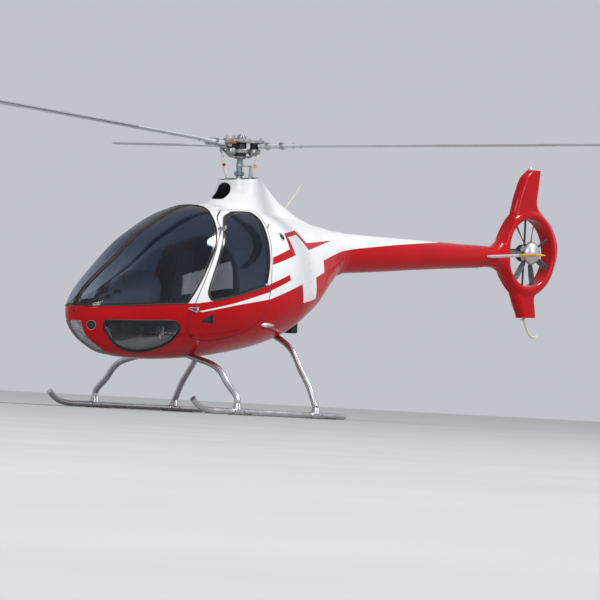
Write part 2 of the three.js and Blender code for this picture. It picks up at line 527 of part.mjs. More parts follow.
const tailSkid = tube([[3948, 0, 1010], [3990, 0, 930], [4031, 0, 872], [4100, 0, 832], [4160, 0, 848]], 11, 10, 20);
add('tail_skid', tailSkid.subtract(finWhole.translate(0, 0, -GAP)).subtract(finWhole), 0xd0d2d4, 0.4, 0.2);
add('fin_strobe', join(rodZ(3941, 0, 2345, 2372, 25), ball(3941, 0, 2370, 22, 1, 1, 0.85))
  .subtract(toSolid(finGeometry).translate(0, 0, GAP)), 0xd8dadc, 0.2);

// Landing gear: two skid tubes, two bowed cross tubes and their fittings
const skid = (side) => {
  const y = side * SKID_Y;
  const run = tube([[-1311, y, 118], [-1262, y, 78], [-1190, y, 44], [-1090, y, SKID_Z + 1], [-950, y, SKID_Z],
    [-500, y, SKID_Z], [0, y, SKID_Z], [580, y, SKID_Z]], TUBE_R, 10, 14);
  const shoe = (x0, x1) => box(x0, x1, y - 17, y + 17, 0, SKID_Z);
  return join(run, shoe(-860, -600), shoe(90, 460));
};
const clamp = (x, side) => {
  const y = side * SKID_Y;
  const saddle = rodBetween([x - 70, y, SKID_Z], [x + 70, y, SKID_Z], TUBE_R + 9, 16);
  const socket = rodZ(x, y - side * 8, SKID_Z + 20, FOOT_TOP, 38, 16);
  return join(saddle, socket);
};
for (const [side, label] of [[-1, 'port'], [1, 'starboard']]) {
  const fittings = join(clamp(CROSS_TUBES[0].x, side), clamp(CROSS_TUBES[1].x, side));
  add(`skid_${label}`, join(skid(side), fittings)
    .subtract(box(-2000, 1000, -900, 900, -50, 0)), 0xb4b8bb, 0.35, 0.7);
}
for (const t of CROSS_TUBES) {
  add(t.name, gearSolids[t.name].intersect(box(-2000, 1000, -900, 900, FOOT_TOP + GAP, 1500)), 0xb4b8bb, 0.35, 0.7);
}

// Rotor mast, hub, blades and control links, all turning together
const mast = join(rodZ(0, 0, MAST_FOOT, 2285, 30, 16), rodZ(0, 0, 2010, 2046, 44, 16));
add('rotor_mast', mast, 0xb9bdc1, 0.3, 0.8);
const HUB_REACH = 205;
const LINK_TURN = -0.328;
const LINK_HEAD = 185;
let hub = rodZ(0, 0, 2286, 2322, 92, 20);
let lower = rodZ(0, 0, 2196, 2235, 84, 20);
for (let i = 0; i < 3; i += 1) {
  const a = Math.PI + (i * Math.PI * 2) / 3;
  const arm = placed(new THREE.BoxGeometry(HUB_REACH, 74, 22), Math.cos(a) * HUB_REACH / 2, Math.sin(a) * HUB_REACH / 2,
    2300, 0, 0, a);
  const pad = rodZ(Math.cos(a) * 118, Math.sin(a) * 118, 2180, 2236, 44, 10);
  const nut = rodZ(Math.cos(a + 1.047) * 62, Math.sin(a + 1.047) * 62, 2318, 2352, 12, 6);
  const out = [Math.cos(a + LINK_TURN), Math.sin(a + LINK_TURN)];
  const horn = rodBetween([out[0] * 40, out[1] * 40, 2166], [out[0] * LINK_HEAD, out[1] * LINK_HEAD, 2222], 9);
  hub = join(hub, arm, nut);
  lower = join(lower, pad, horn);
}
const core = rodZ(0, 0, 2150, 2300, 52, 16);
add('rotor_hub', join(hub, lower, core, rodZ(0, 0, 2322, 2364, 34, 16))
  .subtract(rodZ(0, 0, 1700, 2285 + GAP, 30 + GAP, 16)), 0x8e9297, 0.35, 0.7);
const bladeShape = () => {
  const section = new THREE.Shape();
  const pts = [];
  for (let i = 0; i < 24; i += 1) {
    const a = (i / 24) * Math.PI * 2;
    pts.push(new THREE.Vector2((Math.cos(a) * BLADE_CHORD) / 2, (Math.sin(a) * BLADE_THICK) / 2
      * (Math.cos(a) < 0 ? 1 - 0.75 * Math.cos(a) ** 4 : 1)));
  }
  section.setFromPoints(pts);
  const length = ROTOR_RADIUS / Math.cos(PRECONE) - 560;
  const g = new THREE.ExtrudeGeometry(section, { depth: length, bevelEnabled: false });
  g.rotateY(Math.PI / 2).rotateX(Math.PI / 2).translate(560, 0, 0);
  return g;
};
const cuff = placed(new THREE.BoxGeometry(370, 96, 30), 210 + 185 - 5, 0, 0);
const cuffTaper = loft([[[150, -48, -22], [150, 48, -22], [150, 48, 22], [150, -48, 22]],
  [[360, -58, -19], [360, 58, -19], [360, 58, 19], [360, -58, 19]],
  [[580, -86, -10], [580, 86, -10], [580, 86, 10], [580, -86, 10]]]);
for (let i = 0; i < 3; i += 1) {
  const a = Math.PI + (i * Math.PI * 2) / 3;
  const blade = join(toSolid(bladeShape()), cuffTaper).rotate([0, (-PRECONE * 180) / Math.PI, 0])
    .rotate([0, 0, (a * 180) / Math.PI]).translate([0, 0, ROTOR_Z]);
  add(`rotor_blade_${i + 1}`, blade.subtract(join(hub, lower, core).translate([0, 0, GAP]))
    .subtract(join(hub, lower, core).translate([0, 0, -GAP])), 0xaab2b8, 0.35, 0.1);
}
let links = rodZ(0, 0, 1940, 1985, 128, 24).subtract(rodZ(0, 0, 1900, 2000, 30 + GAP, 16));
for (let i = 0; i < 3; i += 1) {
  const a = Math.PI + LINK_TURN + (i * Math.PI * 2) / 3;
  const foot = [Math.cos(a) * 114, Math.sin(a) * 114, 1970];
  const head = [Math.cos(a) * LINK_HEAD, Math.sin(a) * LINK_HEAD, 2212];
  links = join(links, rodBetween(foot, head, 12, 8));
}
const scissor = join(rodBetween([62, -62, 1980], [66, -66, 2100], 8), rodBetween([66, -66, 2096], [21.9, -21.9, 2100], 8));
add('swashplate_and_links', join(links, scissor).subtract(join(lower, core).translate([0, 0, -GAP])), 0xd9dbdd, 0.4, 0.3);

// Small outside fittings
add('whip_antenna', rodBetween([574, 0, 1737], [807, 0, 1999], 4.5, 8)
  .subtract(fairingSolid(-GAP)), 0xb9b4a8, 0.5);
const exhaust = box(...EXHAUST, 715, 960).subtract(box(ex0 + 10, ex1 - 10, ey0 + 10, ey1 - 10, 600, 950));
add('exhaust_outlet', exhaust, 0x1f2123, 0.7, 0.3);
const lightPort = ball(-200, -590, 756, 22, 3.7, 1, 1).subtract(hullSolid(-GAP));
add('position_light_port', lightPort, 0xc9ccce, 0.3, 0.4);
add('position_light_starboard', mirrored(lightPort), 0xc9ccce, 0.3, 0.4);
const lampPair = join(rodBetween([-1745, 0, 610], [-1680, 0, 630], 36, 20),
  box(-1700, -1500 - GAP, -18, 18, 566, 584), box(-1700, -1684, -18, 18, 566, 625)).intersect(inside);
add('landing_lamp', lampPair, 0xd5d8da, 0.3, 0.5);
const latch = ball(-300, -648, 1085, 16, 2.2, 0.8, 0.8).subtract(hullSolid(-GAP));
add('door_handle_port', latch, 0x9a9da0, 0.3, 0.8);
add('door_handle_starboard', mirrored(latch), 0x9a9da0, 0.3, 0.8);

export default group;
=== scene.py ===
import json
import math

import bmesh
import bpy
import numpy as np
from mathutils import Matrix, Vector

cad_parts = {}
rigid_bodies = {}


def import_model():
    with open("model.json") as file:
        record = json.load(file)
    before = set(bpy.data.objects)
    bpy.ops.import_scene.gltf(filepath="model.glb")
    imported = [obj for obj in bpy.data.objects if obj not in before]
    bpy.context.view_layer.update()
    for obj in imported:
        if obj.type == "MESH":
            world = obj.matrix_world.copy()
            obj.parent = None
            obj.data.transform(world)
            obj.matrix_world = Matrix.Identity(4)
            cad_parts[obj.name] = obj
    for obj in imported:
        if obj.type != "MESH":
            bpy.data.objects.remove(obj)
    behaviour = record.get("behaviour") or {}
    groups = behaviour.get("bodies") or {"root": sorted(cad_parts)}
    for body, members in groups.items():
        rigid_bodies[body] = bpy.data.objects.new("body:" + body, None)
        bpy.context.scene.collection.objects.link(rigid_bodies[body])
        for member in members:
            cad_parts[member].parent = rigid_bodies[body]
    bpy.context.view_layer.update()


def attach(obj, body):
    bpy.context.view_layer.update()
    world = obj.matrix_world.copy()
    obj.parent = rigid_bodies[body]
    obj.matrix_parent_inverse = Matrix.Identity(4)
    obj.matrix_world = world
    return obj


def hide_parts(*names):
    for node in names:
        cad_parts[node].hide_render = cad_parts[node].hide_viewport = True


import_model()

# Viewpoint: floor level, ahead of the port side, far off with a long lens. The picture leans a
# little, so its right side sits lower, and the floor is a wide pale sheet under soft lamps.
CAMERA_AT = (-28.292, -25.174, 0.12)
CAMERA_TURN = math.radians(41.19)
CAMERA_RISE = math.radians(1.328)
CAMERA_LEAN = math.radians(-2.978)
CAMERA_LENS = 267.9
CAMERA_SENSOR = 36.0
CAMERA_REACH = 400.0
camera_data = bpy.data.cameras.new("camera")
camera_data.lens = CAMERA_LENS
camera_data.sensor_width = CAMERA_SENSOR
camera_data.clip_end = CAMERA_REACH
camera = bpy.data.objects.new("camera", camera_data)
look = Vector((math.cos(CAMERA_RISE) * math.cos(CAMERA_TURN),
               math.cos(CAMERA_RISE) * math.sin(CAMERA_TURN), math.sin(CAMERA_RISE)))
level = look.cross(Vector((0, 0, 1))).normalized()
above = level.cross(look)
right = level * math.cos(CAMERA_LEAN) - above * math.sin(CAMERA_LEAN)
over = level * math.sin(CAMERA_LEAN) + above * math.cos(CAMERA_LEAN)
turn = Matrix((right, over, -look)).transposed().to_4x4()
camera.matrix_world = Matrix.Translation(CAMERA_AT) @ turn
bpy.context.scene.collection.objects.link(camera)
bpy.context.scene.camera = camera

bpy.context.scene.view_settings.view_transform = "Standard"
SKY_COLOUR = (0.86, 0.90, 0.96, 1)
SKY_STRENGTH = 0.62
SUN = ((-0.42, 0.62, -1.0), 1.75, math.radians(14), (1.0, 0.98, 0.95))
LAMPS = [  # name, place, aim, size, watts, colour
    ("key_lamp", (-30.0, -27.0, 19.0), (-0.8, 0.0, 1.2), 15.0, 4900, (1.0, 0.99, 0.97)),
    ("side_lamp", (15.0, -42.0, 16.0), (1.5, 0.0, 1.4), 18.0, 3300, (0.94, 0.97, 1.0)),
]
sun = bpy.data.lights.new("soft_sun", "SUN")
sun.energy = SUN[1]
sun.angle = SUN[2]
sun.color = SUN[3]
sun_holder = bpy.data.objects.new("soft_sun", sun)
sun_holder.matrix_world = Vector(SUN[0]).to_track_quat("-Z", "Y").to_matrix().to_4x4()
bpy.context.scene.collection.objects.link(sun_holder)
for name, place, aim, size, watts, colour in LAMPS:
    lamp = bpy.data.lights.new(name, "AREA")
    lamp.size = size
    lamp.energy = watts
    lamp.color = colour
    holder = bpy.data.objects.new(name, lamp)
    holder.matrix_world = Matrix.Translation(place) @ (
        Vector(aim) - Vector(place)).to_track_quat("-Z", "Y").to_matrix().to_4x4()
    bpy.context.scene.collection.objects.link(holder)
world = bpy.data.worlds.new("studio_air")
bpy.context.scene.world = world
world.use_nodes = True
world.node_tree.nodes["Background"].inputs["Color"].default_value = SKY_COLOUR
world.node_tree.nodes["Background"].inputs["Strength"].default_value = SKY_STRENGTH


class Wire:
    """One shader socket that joins in sums; node() adds any other kind of node beside it."""

    def __init__(self, tree, socket):
        self.tree = tree
        self.socket = socket

    def node(self, kind, settings=None, values=None, out=0):
        new = self.tree.nodes.new(kind)
        for key, value in (settings or {}).items():
            if key == "stops":
                ramp = new.color_ramp.elements
                while len(ramp) < len(value):
                    ramp.new(0.5)
                for stop, (at, tone) in zip(ramp, value):
                    stop.position = at
                    stop.color = (tone, tone, tone, 1) if isinstance(tone, (int, float)) else (*tone, 1)
            elif key == "bends":
                curve = new.mapping.curves[0]
                while len(curve.points) < len(value):
                    curve.points.new(0.5, 0.5)
                for point, spot in zip(curve.points, value):
                    point.location = spot
                    point.handle_type = "VECTOR"
                new.mapping.update()
            else:
                setattr(new, key, value)
        for key, value in (values or {}).items():
            if isinstance(value, Wire):
                self.tree.links.new(value.socket, new.inputs[key])
            else:
                new.inputs[key].default_value = value
        return Wire(self.tree, new.outputs[out])

    def sum(self, operation, *others, **settings):
        values = {i: v for i, v in enumerate((self, *others))}
        return self.node("ShaderNodeMath", {"operation": operation, **settings}, values)

    def __add__(self, other):
        return self.sum("ADD", other)

    def __sub__(self, other):
        return self.sum("SUBTRACT", other)

    def __mul__(self, other):
        return self.sum("MULTIPLY", other)

    def __rsub__(self, other):
        return self.node("ShaderNodeMath", {"operation": "SUBTRACT"}, {0: other, 1: self})

    __radd__ = __add__
    __rmul__ = __mul__

    def least(self, other):
        return self.sum("MINIMUM", other)

    def most(self, other):
        return self.sum("MAXIMUM", other)

    def step(self, low, high):
        return self.node("ShaderNodeMapRange", {"interpolation_type": "SMOOTHSTEP"},
                         {"Value": self, "From Min": low, "From Max": high})

    def pick(self, low, high):
        values = {0: self, 6: tint(low), 7: tint(high)}
        return self.node("ShaderNodeMix", {"data_type": "RGBA"}, values, out=2)


def tint(colour):
    return (*colour, 1.0) if isinstance(colour, tuple) and len(colour) == 3 else colour


def finish(name, recipe, **fixed):
    """A material whose fixed values sit on the shader's own sockets; recipe(at) gives what varies."""
    made = bpy.data.materials.new(name)
    made.use_nodes = True
    tree = made.node_tree
    shader = tree.nodes["Principled BSDF"]
    for key, value in fixed.items():
        shader.inputs[key.replace("_", " ").title().replace("Ior", "IOR")].default_value = tint(value)
    coordinates = tree.nodes.new("ShaderNodeTexCoord")
    for key, value in recipe(Wire(tree, coordinates.outputs["Object"])).items():
        if key == "Bump":
            height, depth = value
            value = height.node("ShaderNodeBump", None, {"Height": height, "Distance": depth,
                                                         "Strength": 1.0})
            key = "Normal"
        tree.links.new(value.socket, shader.inputs[key])
    return made


def speckle(at, scale, low, high, detail=3.0):
    """A soft random value between low and high, with patches about 1/scale metres across."""
    noise = at.node("ShaderNodeTexNoise", None, {"Vector": at, "Scale": scale, "Detail": detail})
    return noise.node("ShaderNodeMapRange", None, {"Value": noise, "From Min": 0.3, "From Max": 0.7,
                                                   "To Min": low, "To Max": high})


def mottled(first, second, patches, shine, grain=None):
    """A recipe that mixes two colours in patches, with an uneven shine and, if asked, a fine grain.

    patches is (scale, detail), shine is (scale, least, most) and grain is (scale, detail, depth).
    """
    def recipe(at):
        made = {"Base Color": speckle(at, patches[0], 0.0, 1.0, patches[1]).pick(first, second),
                "Roughness": speckle(at, *shine)}
        if grain:
            made["Bump"] = (speckle(at, grain[0], 0.0, 1.0, grain[1]), grain[2])
        return made
    return recipe


# The floor is a broad matt sheet, pale and almost even, with a very faint mottle.
def floor_recipe(at):
    return {"Base Color": speckle(at, 0.8, 0.0, 1.0).pick((0.40, 0.405, 0.41), (0.43, 0.435, 0.44))}


FLOOR_REACH = 150.0
floor_mesh = bpy.data.meshes.new("floor_sheet")
floor_mesh.from_pydata([(x * FLOOR_REACH, y * FLOOR_REACH, 0)
                        for x, y in ((-1, -1), (1, -1), (1, 1), (-1, 1))], [], [(0, 1, 2, 3)])
floor_sheet = bpy.data.objects.new("floor_sheet", floor_mesh)
bpy.context.scene.collection.objects.link(floor_sheet)
floor_sheet.data.materials.append(finish("floor_matt", floor_recipe, roughness=0.95, specular_ior_level=0.0))

# Hull form: superellipse sections from the nose tip to the root of the tail boom. Stations are
# metres aft of the rotor mast, and MAST_X moves every finished mesh into the frame's own place.
MAST_X = -0.387
HULL_STATIONS = [  # x, low, mid, top, half, square_low, square_top
    (-1.910, 0.780, 0.780, 0.780, 0.000, 2.00, 2.00),
    (-1.840, 0.590, 0.790, 0.935, 0.165, 2.00, 2.00),
    (-1.700, 0.500, 0.845, 1.065, 0.262, 2.00, 2.05),
    (-1.500, 0.440, 0.870, 1.220, 0.375, 2.05, 2.10),
    (-1.100, 0.420, 0.900, 1.520, 0.530, 2.10, 2.15),
    (-0.600, 0.453, 0.950, 1.725, 0.640, 2.15, 2.20),
    (-0.200, 0.513, 0.980, 1.755, 0.650, 2.15, 2.25),
    (0.200, 0.610, 1.020, 1.740, 0.605, 2.10, 2.20),
    (0.600, 0.800, 1.120, 1.690, 0.475, 2.00, 2.10),
    (0.850, 0.975, 1.240, 1.660, 0.360, 2.00, 2.00),
    (1.050, 1.120, 1.340, 1.640, 0.265, 2.00, 2.00),
    (1.200, 1.220, 1.420, 1.622, 0.190, 2.00, 2.00),
    (1.400, 1.250, 1.430, 1.615, 0.160, 2.00, 2.00),
]
NOSE_X = HULL_STATIONS[0][0]
HULL_END = HULL_STATIONS[-1][0]


def flowing(x, y):
    """A smooth curve through the points (x, y) that never overshoots them."""
    h = np.diff(x)
    d = np.diff(y) / h
    m = np.zeros(len(x))
    m[0] = d[0]
    m[-1] = d[-1]
    for i in range(1, len(x) - 1):
        if d[i - 1] * d[i] > 0:
            w1 = 2 * h[i] + h[i - 1]
            w2 = h[i] + 2 * h[i - 1]
            m[i] = (w1 + w2) / (w1 / d[i - 1] + w2 / d[i])

    def at(q):
        q = np.asarray(q, float)
        i = np.clip(np.searchsorted(x, q, side="right") - 1, 0, len(x) - 2)
        t = np.clip((q - x[i]) / h[i], 0, 1)
        return ((2 * t**3 - 3 * t**2 + 1) * y[i] + (t**3 - 2 * t**2 + t) * h[i] * m[i]
                + (3 * t**2 - 2 * t**3) * y[i + 1] + (t**3 - t**2) * h[i] * m[i + 1])
    return at


hull_table = np.array(HULL_STATIONS)
hull_reach = np.sqrt(hull_table[:, 0] - NOSE_X)
hull_low, hull_mid, hull_top, hull_half, hull_square_low, hull_square_top = (
    flowing(hull_reach, hull_table[:, k]) for k in range(1, 7))


def hull_ring(x, inset, sides):
    s = math.sqrt(max(x - NOSE_X, 0))
    half = max(float(hull_half(s)) - inset, 0.0015)
    mid = float(hull_mid(s))
    up = max(float(hull_top(s)) - mid - inset, 0.0015)
    down = max(mid - float(hull_low(s)) - inset, 0.0015)
    a = np.arange(sides) / sides * 2 * np.pi
    c, q = np.cos(a), np.sin(a)
    e = np.where(q >= 0, 2 / hull_square_top(s), 2 / hull_square_low(s))
    y = half * np.sign(c) * np.abs(c) ** e
    z = mid + np.where(q >= 0, up, down) * np.sign(q) * np.abs(q) ** e
    return np.stack([np.full(sides, x), y, z], axis=1)


def hull_y(x, z, inset=0.0):
    """Half-width of the hull at a station and a height, 0 outside it."""
    s = np.sqrt(np.maximum(np.asarray(x, float) - NOSE_X, 0))
    mid = hull_mid(s)
    up = np.asarray(z) >= mid
    reach = np.where(up, hull_top(s) - mid, mid - hull_low(s)) - inset
    square = np.where(up, hull_square_top(s), hull_square_low(s))
    t = np.clip(np.abs(np.asarray(z) - mid) / np.maximum(reach, 1e-6), 0, 1)
    return (hull_half(s) - inset) * (1 - t**square) ** (1 / square)


def hull_z(x, y, inset=0.0):
    """Height of the hull's upper skin at a station and a distance from the centreline."""
    s = np.sqrt(np.maximum(np.asarray(x, float) - NOSE_X, 0))
    t = np.clip(np.abs(y) / (hull_half(s) - inset), 0, 1)
    square = hull_square_top(s)
    return hull_mid(s) + (hull_top(s) - hull_mid(s) - inset) * (1 - t**square) ** (1 / square)


def shaped(name, verts, faces, smooth=32):
    """A mesh object with its place in its mesh, faces outwards, and soft shading below an angle."""
    mesh = bpy.data.meshes.new(name)
    points = np.asarray(verts, float) + (MAST_X, 0, 0)
    mesh.from_pydata(points.tolist(), [], [list(map(int, f)) for f in faces])
    work = bmesh.new()
    work.from_mesh(mesh)
    bmesh.ops.remove_doubles(work, verts=work.verts, dist=1e-6)
    bmesh.ops.recalc_face_normals(work, faces=work.faces)
    work.to_mesh(mesh)
    work.free()
    mesh.shade_smooth()
    mesh.set_sharp_from_angle(angle=math.radians(smooth))
    thing = bpy.data.objects.new(name, mesh)
    bpy.context.scene.collection.objects.link(thing)
    return thing


def ring_faces(count, sides, closed=False, caps=True):
    """Faces that join rings of equal size one after another, with a cap at each end."""
    faces = []
    for i in range(count if closed else count - 1):
        k = (i + 1) % count
        for j in range(sides):
            n = (j + 1) % sides
            faces.append((i * sides + j, i * sides + n, k * sides + n, k * sides + j))
    if caps and not closed:
        faces.append(tuple(range(sides)))
        faces.append(tuple((count - 1) * sides + j for j in reversed(range(sides))))
    return faces


def skinned(name, rings, smooth=32, closed=False, caps=True):
    rings = [np.asarray(r, float) for r in rings]
    return shaped(name, np.concatenate(rings), ring_faces(len(rings), len(rings[0]), closed, caps), smooth)


def hull_body(name, inset, stations=150, sides=180):
    first = math.sqrt(inset * 0.9 + 0.0005)
    last = math.sqrt(HULL_END - NOSE_X)
    steps = np.linspace(first, last, stations + 1)
    return skinned(name, [hull_ring(NOSE_X + s * s, inset, sides) for s in steps])


def hull_field(x, y, z):
    """One on the hull's skin and more outside it; its slope is the way that the skin faces."""
    s = np.sqrt(np.maximum(x - NOSE_X, 1e-4))
    mid = hull_mid(s)
    up = z >= mid
    reach = np.where(up, hull_top(s) - mid, mid - hull_low(s))
    square = np.where(up, hull_square_top(s), hull_square_low(s))
    return (np.abs(y) / hull_half(s)) ** square + (np.abs(z - mid) / reach) ** square


def true_skin(thing, least=0.9, step=0.0005):
    """Lets the skins face as the uncut hull does, so that no cut leaves a ripple in the gloss."""
    mesh = thing.data
    corners = np.empty(len(mesh.loops), int)
    places = np.empty(len(mesh.vertices) * 3)
    facings = np.empty(len(mesh.polygons) * 3)
    counts = np.empty(len(mesh.polygons), int)
    mesh.loops.foreach_get("vertex_index", corners)
    mesh.vertices.foreach_get("co", places)
    mesh.polygons.foreach_get("normal", facings)
    mesh.polygons.foreach_get("loop_total", counts)
    x, y, z = (places.reshape(-1, 3) - (MAST_X, 0, 0)).T
    slope = np.stack([hull_field(x + step, y, z) - hull_field(x - step, y, z),
                      hull_field(x, y + step, z) - hull_field(x, y - step, z),
                      hull_field(x, y, z + step) - hull_field(x, y, z - step)], axis=1)
    slope /= np.maximum(np.linalg.norm(slope, axis=1), 1e-9)[:, None]
    slope = slope[corners]
    along = (np.repeat(facings.reshape(-1, 3), counts, axis=0) * slope).sum(axis=1)
    kept = np.where(np.abs(along) > least, np.sign(along), 0.0)
    mesh.normals_split_custom_set((slope * kept[:, None]).tolist())
    return thing


def settled(thing):
    """The object with its modifiers worked into its mesh."""
    done = bpy.data.meshes.new_from_object(thing.evaluated_get(bpy.context.evaluated_depsgraph_get()))
    done.name = thing.name
    thing.modifiers.clear()
    thing.data = done
    return thing


def cut(base, tools, how="DIFFERENCE"):
    """Cuts each tool from the base in turn, or keeps or adds what they share."""
    for tool in tools:
        step = base.modifiers.new("cut", "BOOLEAN")
        step.operation = how
        step.solver = "MANIFOLD"
        step.object = tool
        settled(base)
    return base


def drop(*things):
    for thing in things:
        bpy.data.objects.remove(thing)


def copied(thing, name):
    twin = bpy.data.objects.new(name, thing.data.copy())
    bpy.context.scene.collection.objects.link(twin)
    return twin


def flipped(thing, name):
    """The same piece on the other side of the centreline."""
    twin = copied(thing, name)
    twin.data.transform(Matrix.Scale(-1, 4, (0, 1, 0)))
    twin.data.flip_normals()
    return twin


def flowing_outline(points, spacing=0.012, closed=True):
    """A smooth closed line through the corners of a side outline, as evenly spaced points."""
    p = np.asarray(points, float)
    n = len(p)
    out = []
    for i in range(n if closed else n - 1):
        a, b, c, d = (p[(i + k) % n] if closed else p[min(max(i + k, 0), n - 1)] for k in (-1, 0, 1, 2))
        count = max(int(np.linalg.norm(c - b) / spacing), 1)
        for t in np.arange(count) / count:
            out.append(0.5 * ((2 * b) + (c - a) * t + (2 * a - 5 * b + 4 * c - d) * t**2
                              + (3 * b - a - 3 * c + d) * t**3))
    if not closed:
        out.append(p[-1])
    return np.array(out)


def side_prism(name, outline, y0, y1):
    """A side outline pushed through from y0 to y1, as a cutting tool."""
    rings = [[(x, y, z) for x, z in outline] for y in (y0, y1)]
    return skinned(name, rings)


def block(name, x, y, z):
    corners = [(x[0], z[0]), (x[1], z[0]), (x[1], z[1]), (x[0], z[1])]
    return side_prism(name, corners, y[0], y[1])


def grown(outline, by):
    """A side outline moved outwards by a distance."""
    p = np.asarray(outline, float)
    along = np.roll(p, -1, axis=0) - np.roll(p, 1, axis=0)
    along /= np.linalg.norm(along, axis=1)[:, None]
    area = np.sum(p[:, 0] * np.roll(p[:, 1], -1) - np.roll(p[:, 0], -1) * p[:, 1])
    out = np.stack([along[:, 1], -along[:, 0]], axis=1) * math.copysign(1, area)
    return p + by * out


def dressed(thing, body, slot, material, *nodes):
    """Gives a finished piece its material and its body, and hides the parts that it stands in for."""
    thing.data.materials.clear()
    thing.data.materials.append(material)
    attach(thing, body)
    if nodes:
        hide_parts(*nodes)
    return thing

# Cabin shell: one hollow moulding of painted composite, with the screens, the doors, the chin
# windows and the lamp bay cut out of it, and a slim post left between the two screens.
SHELL_WALL = 0.022
DOOR_WALL = 0.030
GLASS_WALL = 0.005
DOOR_GAP = 0.007
SPLIT_X = 0.330
BODY_END = 1.290
POST_HALF = 0.014
DOOR_TOP_Y = 0.262
WINDOW_TOP_Y = 0.298
LAMP_HALF = 0.066
DOOR_SIDE = [(-1.073, 0.732), (-1.054, 0.669), (-0.996, 0.623), (-0.919, 0.603), (-0.794, 0.603),
             (-0.645, 0.629), (-0.526, 0.663), (-0.388, 0.720), (-0.339, 0.797), (-0.290, 0.882),
             (-0.265, 1.000), (-0.250, 1.107), (-0.222, 1.275), (-0.175, 1.447), (-0.125, 1.603),
             (-0.080, 1.700), (-0.060, 1.800), (-0.430, 1.800), (-0.442, 1.715), (-0.505, 1.681),
             (-0.610, 1.629), (-0.656, 1.581), (-0.677, 1.529), (-0.768, 1.406), (-0.868, 1.250),
             (-0.949, 1.106), (-1.013, 0.979), (-1.057, 0.863)]
WINDOW_SIDE = [(-0.935, 1.000), (-0.922, 0.950), (-0.884, 0.925), (-0.760, 0.950), (-0.620, 0.985),
               (-0.360, 1.059), (-0.310, 1.085), (-0.289, 1.130), (-0.251, 1.256), (-0.214, 1.401),
               (-0.181, 1.530), (-0.152, 1.617), (-0.150, 1.655), (-0.172, 1.700), (-0.215, 1.780),
               (-0.370, 1.780), (-0.385, 1.700), (-0.430, 1.673), (-0.545, 1.632), (-0.622, 1.567),
               (-0.672, 1.495), (-0.730, 1.408), (-0.822, 1.253), (-0.895, 1.109)]
SCREEN_SIDE = [(-1.960, 0.811), (-1.882, 0.818), (-1.594, 0.844), (-1.361, 0.867), (-1.150, 0.886),
               (-1.112, 0.905), (-1.008, 1.061), (-0.912, 1.215), (-0.813, 1.361), (-0.739, 1.491),
               (-0.669, 1.624), (-0.604, 1.708), (-0.560, 1.800), (-1.960, 1.800)]
CHIN_SIDE = [(-1.759, 0.691), (-1.735, 0.716), (-1.502, 0.727), (-1.240, 0.740), (-1.175, 0.722),
             (-1.136, 0.681), (-1.134, 0.641), (-1.153, 0.575), (-1.205, 0.517), (-1.285, 0.481),
             (-1.363, 0.469), (-1.501, 0.487), (-1.612, 0.530), (-1.698, 0.598), (-1.750, 0.650)]
LAMP_SIDE = [(-1.960, 0.700), (-1.700, 0.700), (-1.500, 0.640), (-1.389, 0.500), (-1.389, 0.380),
             (-1.960, 0.380)]
VENT_PLACE = (-1.834, 0.131, 0.668)
VENT_RADIUS = 0.036
door_line = flowing_outline(DOOR_SIDE)
window_line = flowing_outline(WINDOW_SIDE)
chin_line = flowing_outline(CHIN_SIDE)
SCREEN_SMOOTH = slice(0, 13)
screen_edge = flowing_outline(SCREEN_SIDE[SCREEN_SMOOTH], closed=False)
screen_line = np.concatenate([screen_edge, [SCREEN_SIDE[-1]]])
lamp_line = np.array(LAMP_SIDE)

hull_outer = hull_body("hull_outer", 0.0)
hull_inner = hull_body("hull_inner", SHELL_WALL, 90, 120)
glass_outer = hull_body("glass_outer", 0.002)
glass_inner = hull_body("glass_inner", 0.002 + GLASS_WALL)


def paired_prism(name, outline, inner_y):
    port = side_prism(name, outline, -0.8, -inner_y)
    return port, flipped(port, name + "_far")


def turned_rod(name, centre, direction, radius, length, sides=48):
    """A straight round rod about a centre, along a direction."""
    axis = Vector(direction).normalized()
    side = axis.orthogonal().normalized()
    other = axis.cross(side)
    rings = []
    for end in (-0.5, 0.5):
        middle = Vector(centre) + axis * length * end
        rings.append([middle + (side * math.cos(a) + other * math.sin(a)) * radius
                      for a in np.arange(sides) / sides * math.tau])
    return skinned(name, rings)


door_cuts = paired_prism("door_cut", grown(door_line, DOOR_GAP), DOOR_TOP_Y - DOOR_GAP)
chin_cuts = paired_prism("chin_cut", chin_line, 0.09)
screen_cut = side_prism("screen_cut", screen_line, -0.8, 0.8)
lamp_cut = side_prism("lamp_cut", lamp_line, -LAMP_HALF, LAMP_HALF)
vent_cuts = [turned_rod("vent_cut", (VENT_PLACE[0], side * VENT_PLACE[1], VENT_PLACE[2]),
                        (-0.68, side * 0.73, 0), VENT_RADIUS, 0.16) for side in (-1, 1)]
mast_cut = turned_rod("mast_cut", (0, 0, 1.8), (0, 0, 1), 0.150, 0.6, 64)
cabin_half = block("cabin_half", (-2.0, SPLIT_X), (-0.8, 0.8), (0.3, 2.0))
cowl_half = block("cowl_half", (SPLIT_X, BODY_END), (-0.8, 0.8), (0.3, 2.0))
whole_shell = cut(copied(hull_outer, "whole_shell"), [hull_inner])
screen_post = cut(copied(whole_shell, "screen_post"),
                  [block("post_keep", (-1.900, -0.560), (-POST_HALF, POST_HALF), (0.82, 1.80)), screen_cut],
                  "INTERSECT")
cabin_skin = cut(copied(whole_shell, "cabin_skin"), [cabin_half], "INTERSECT")

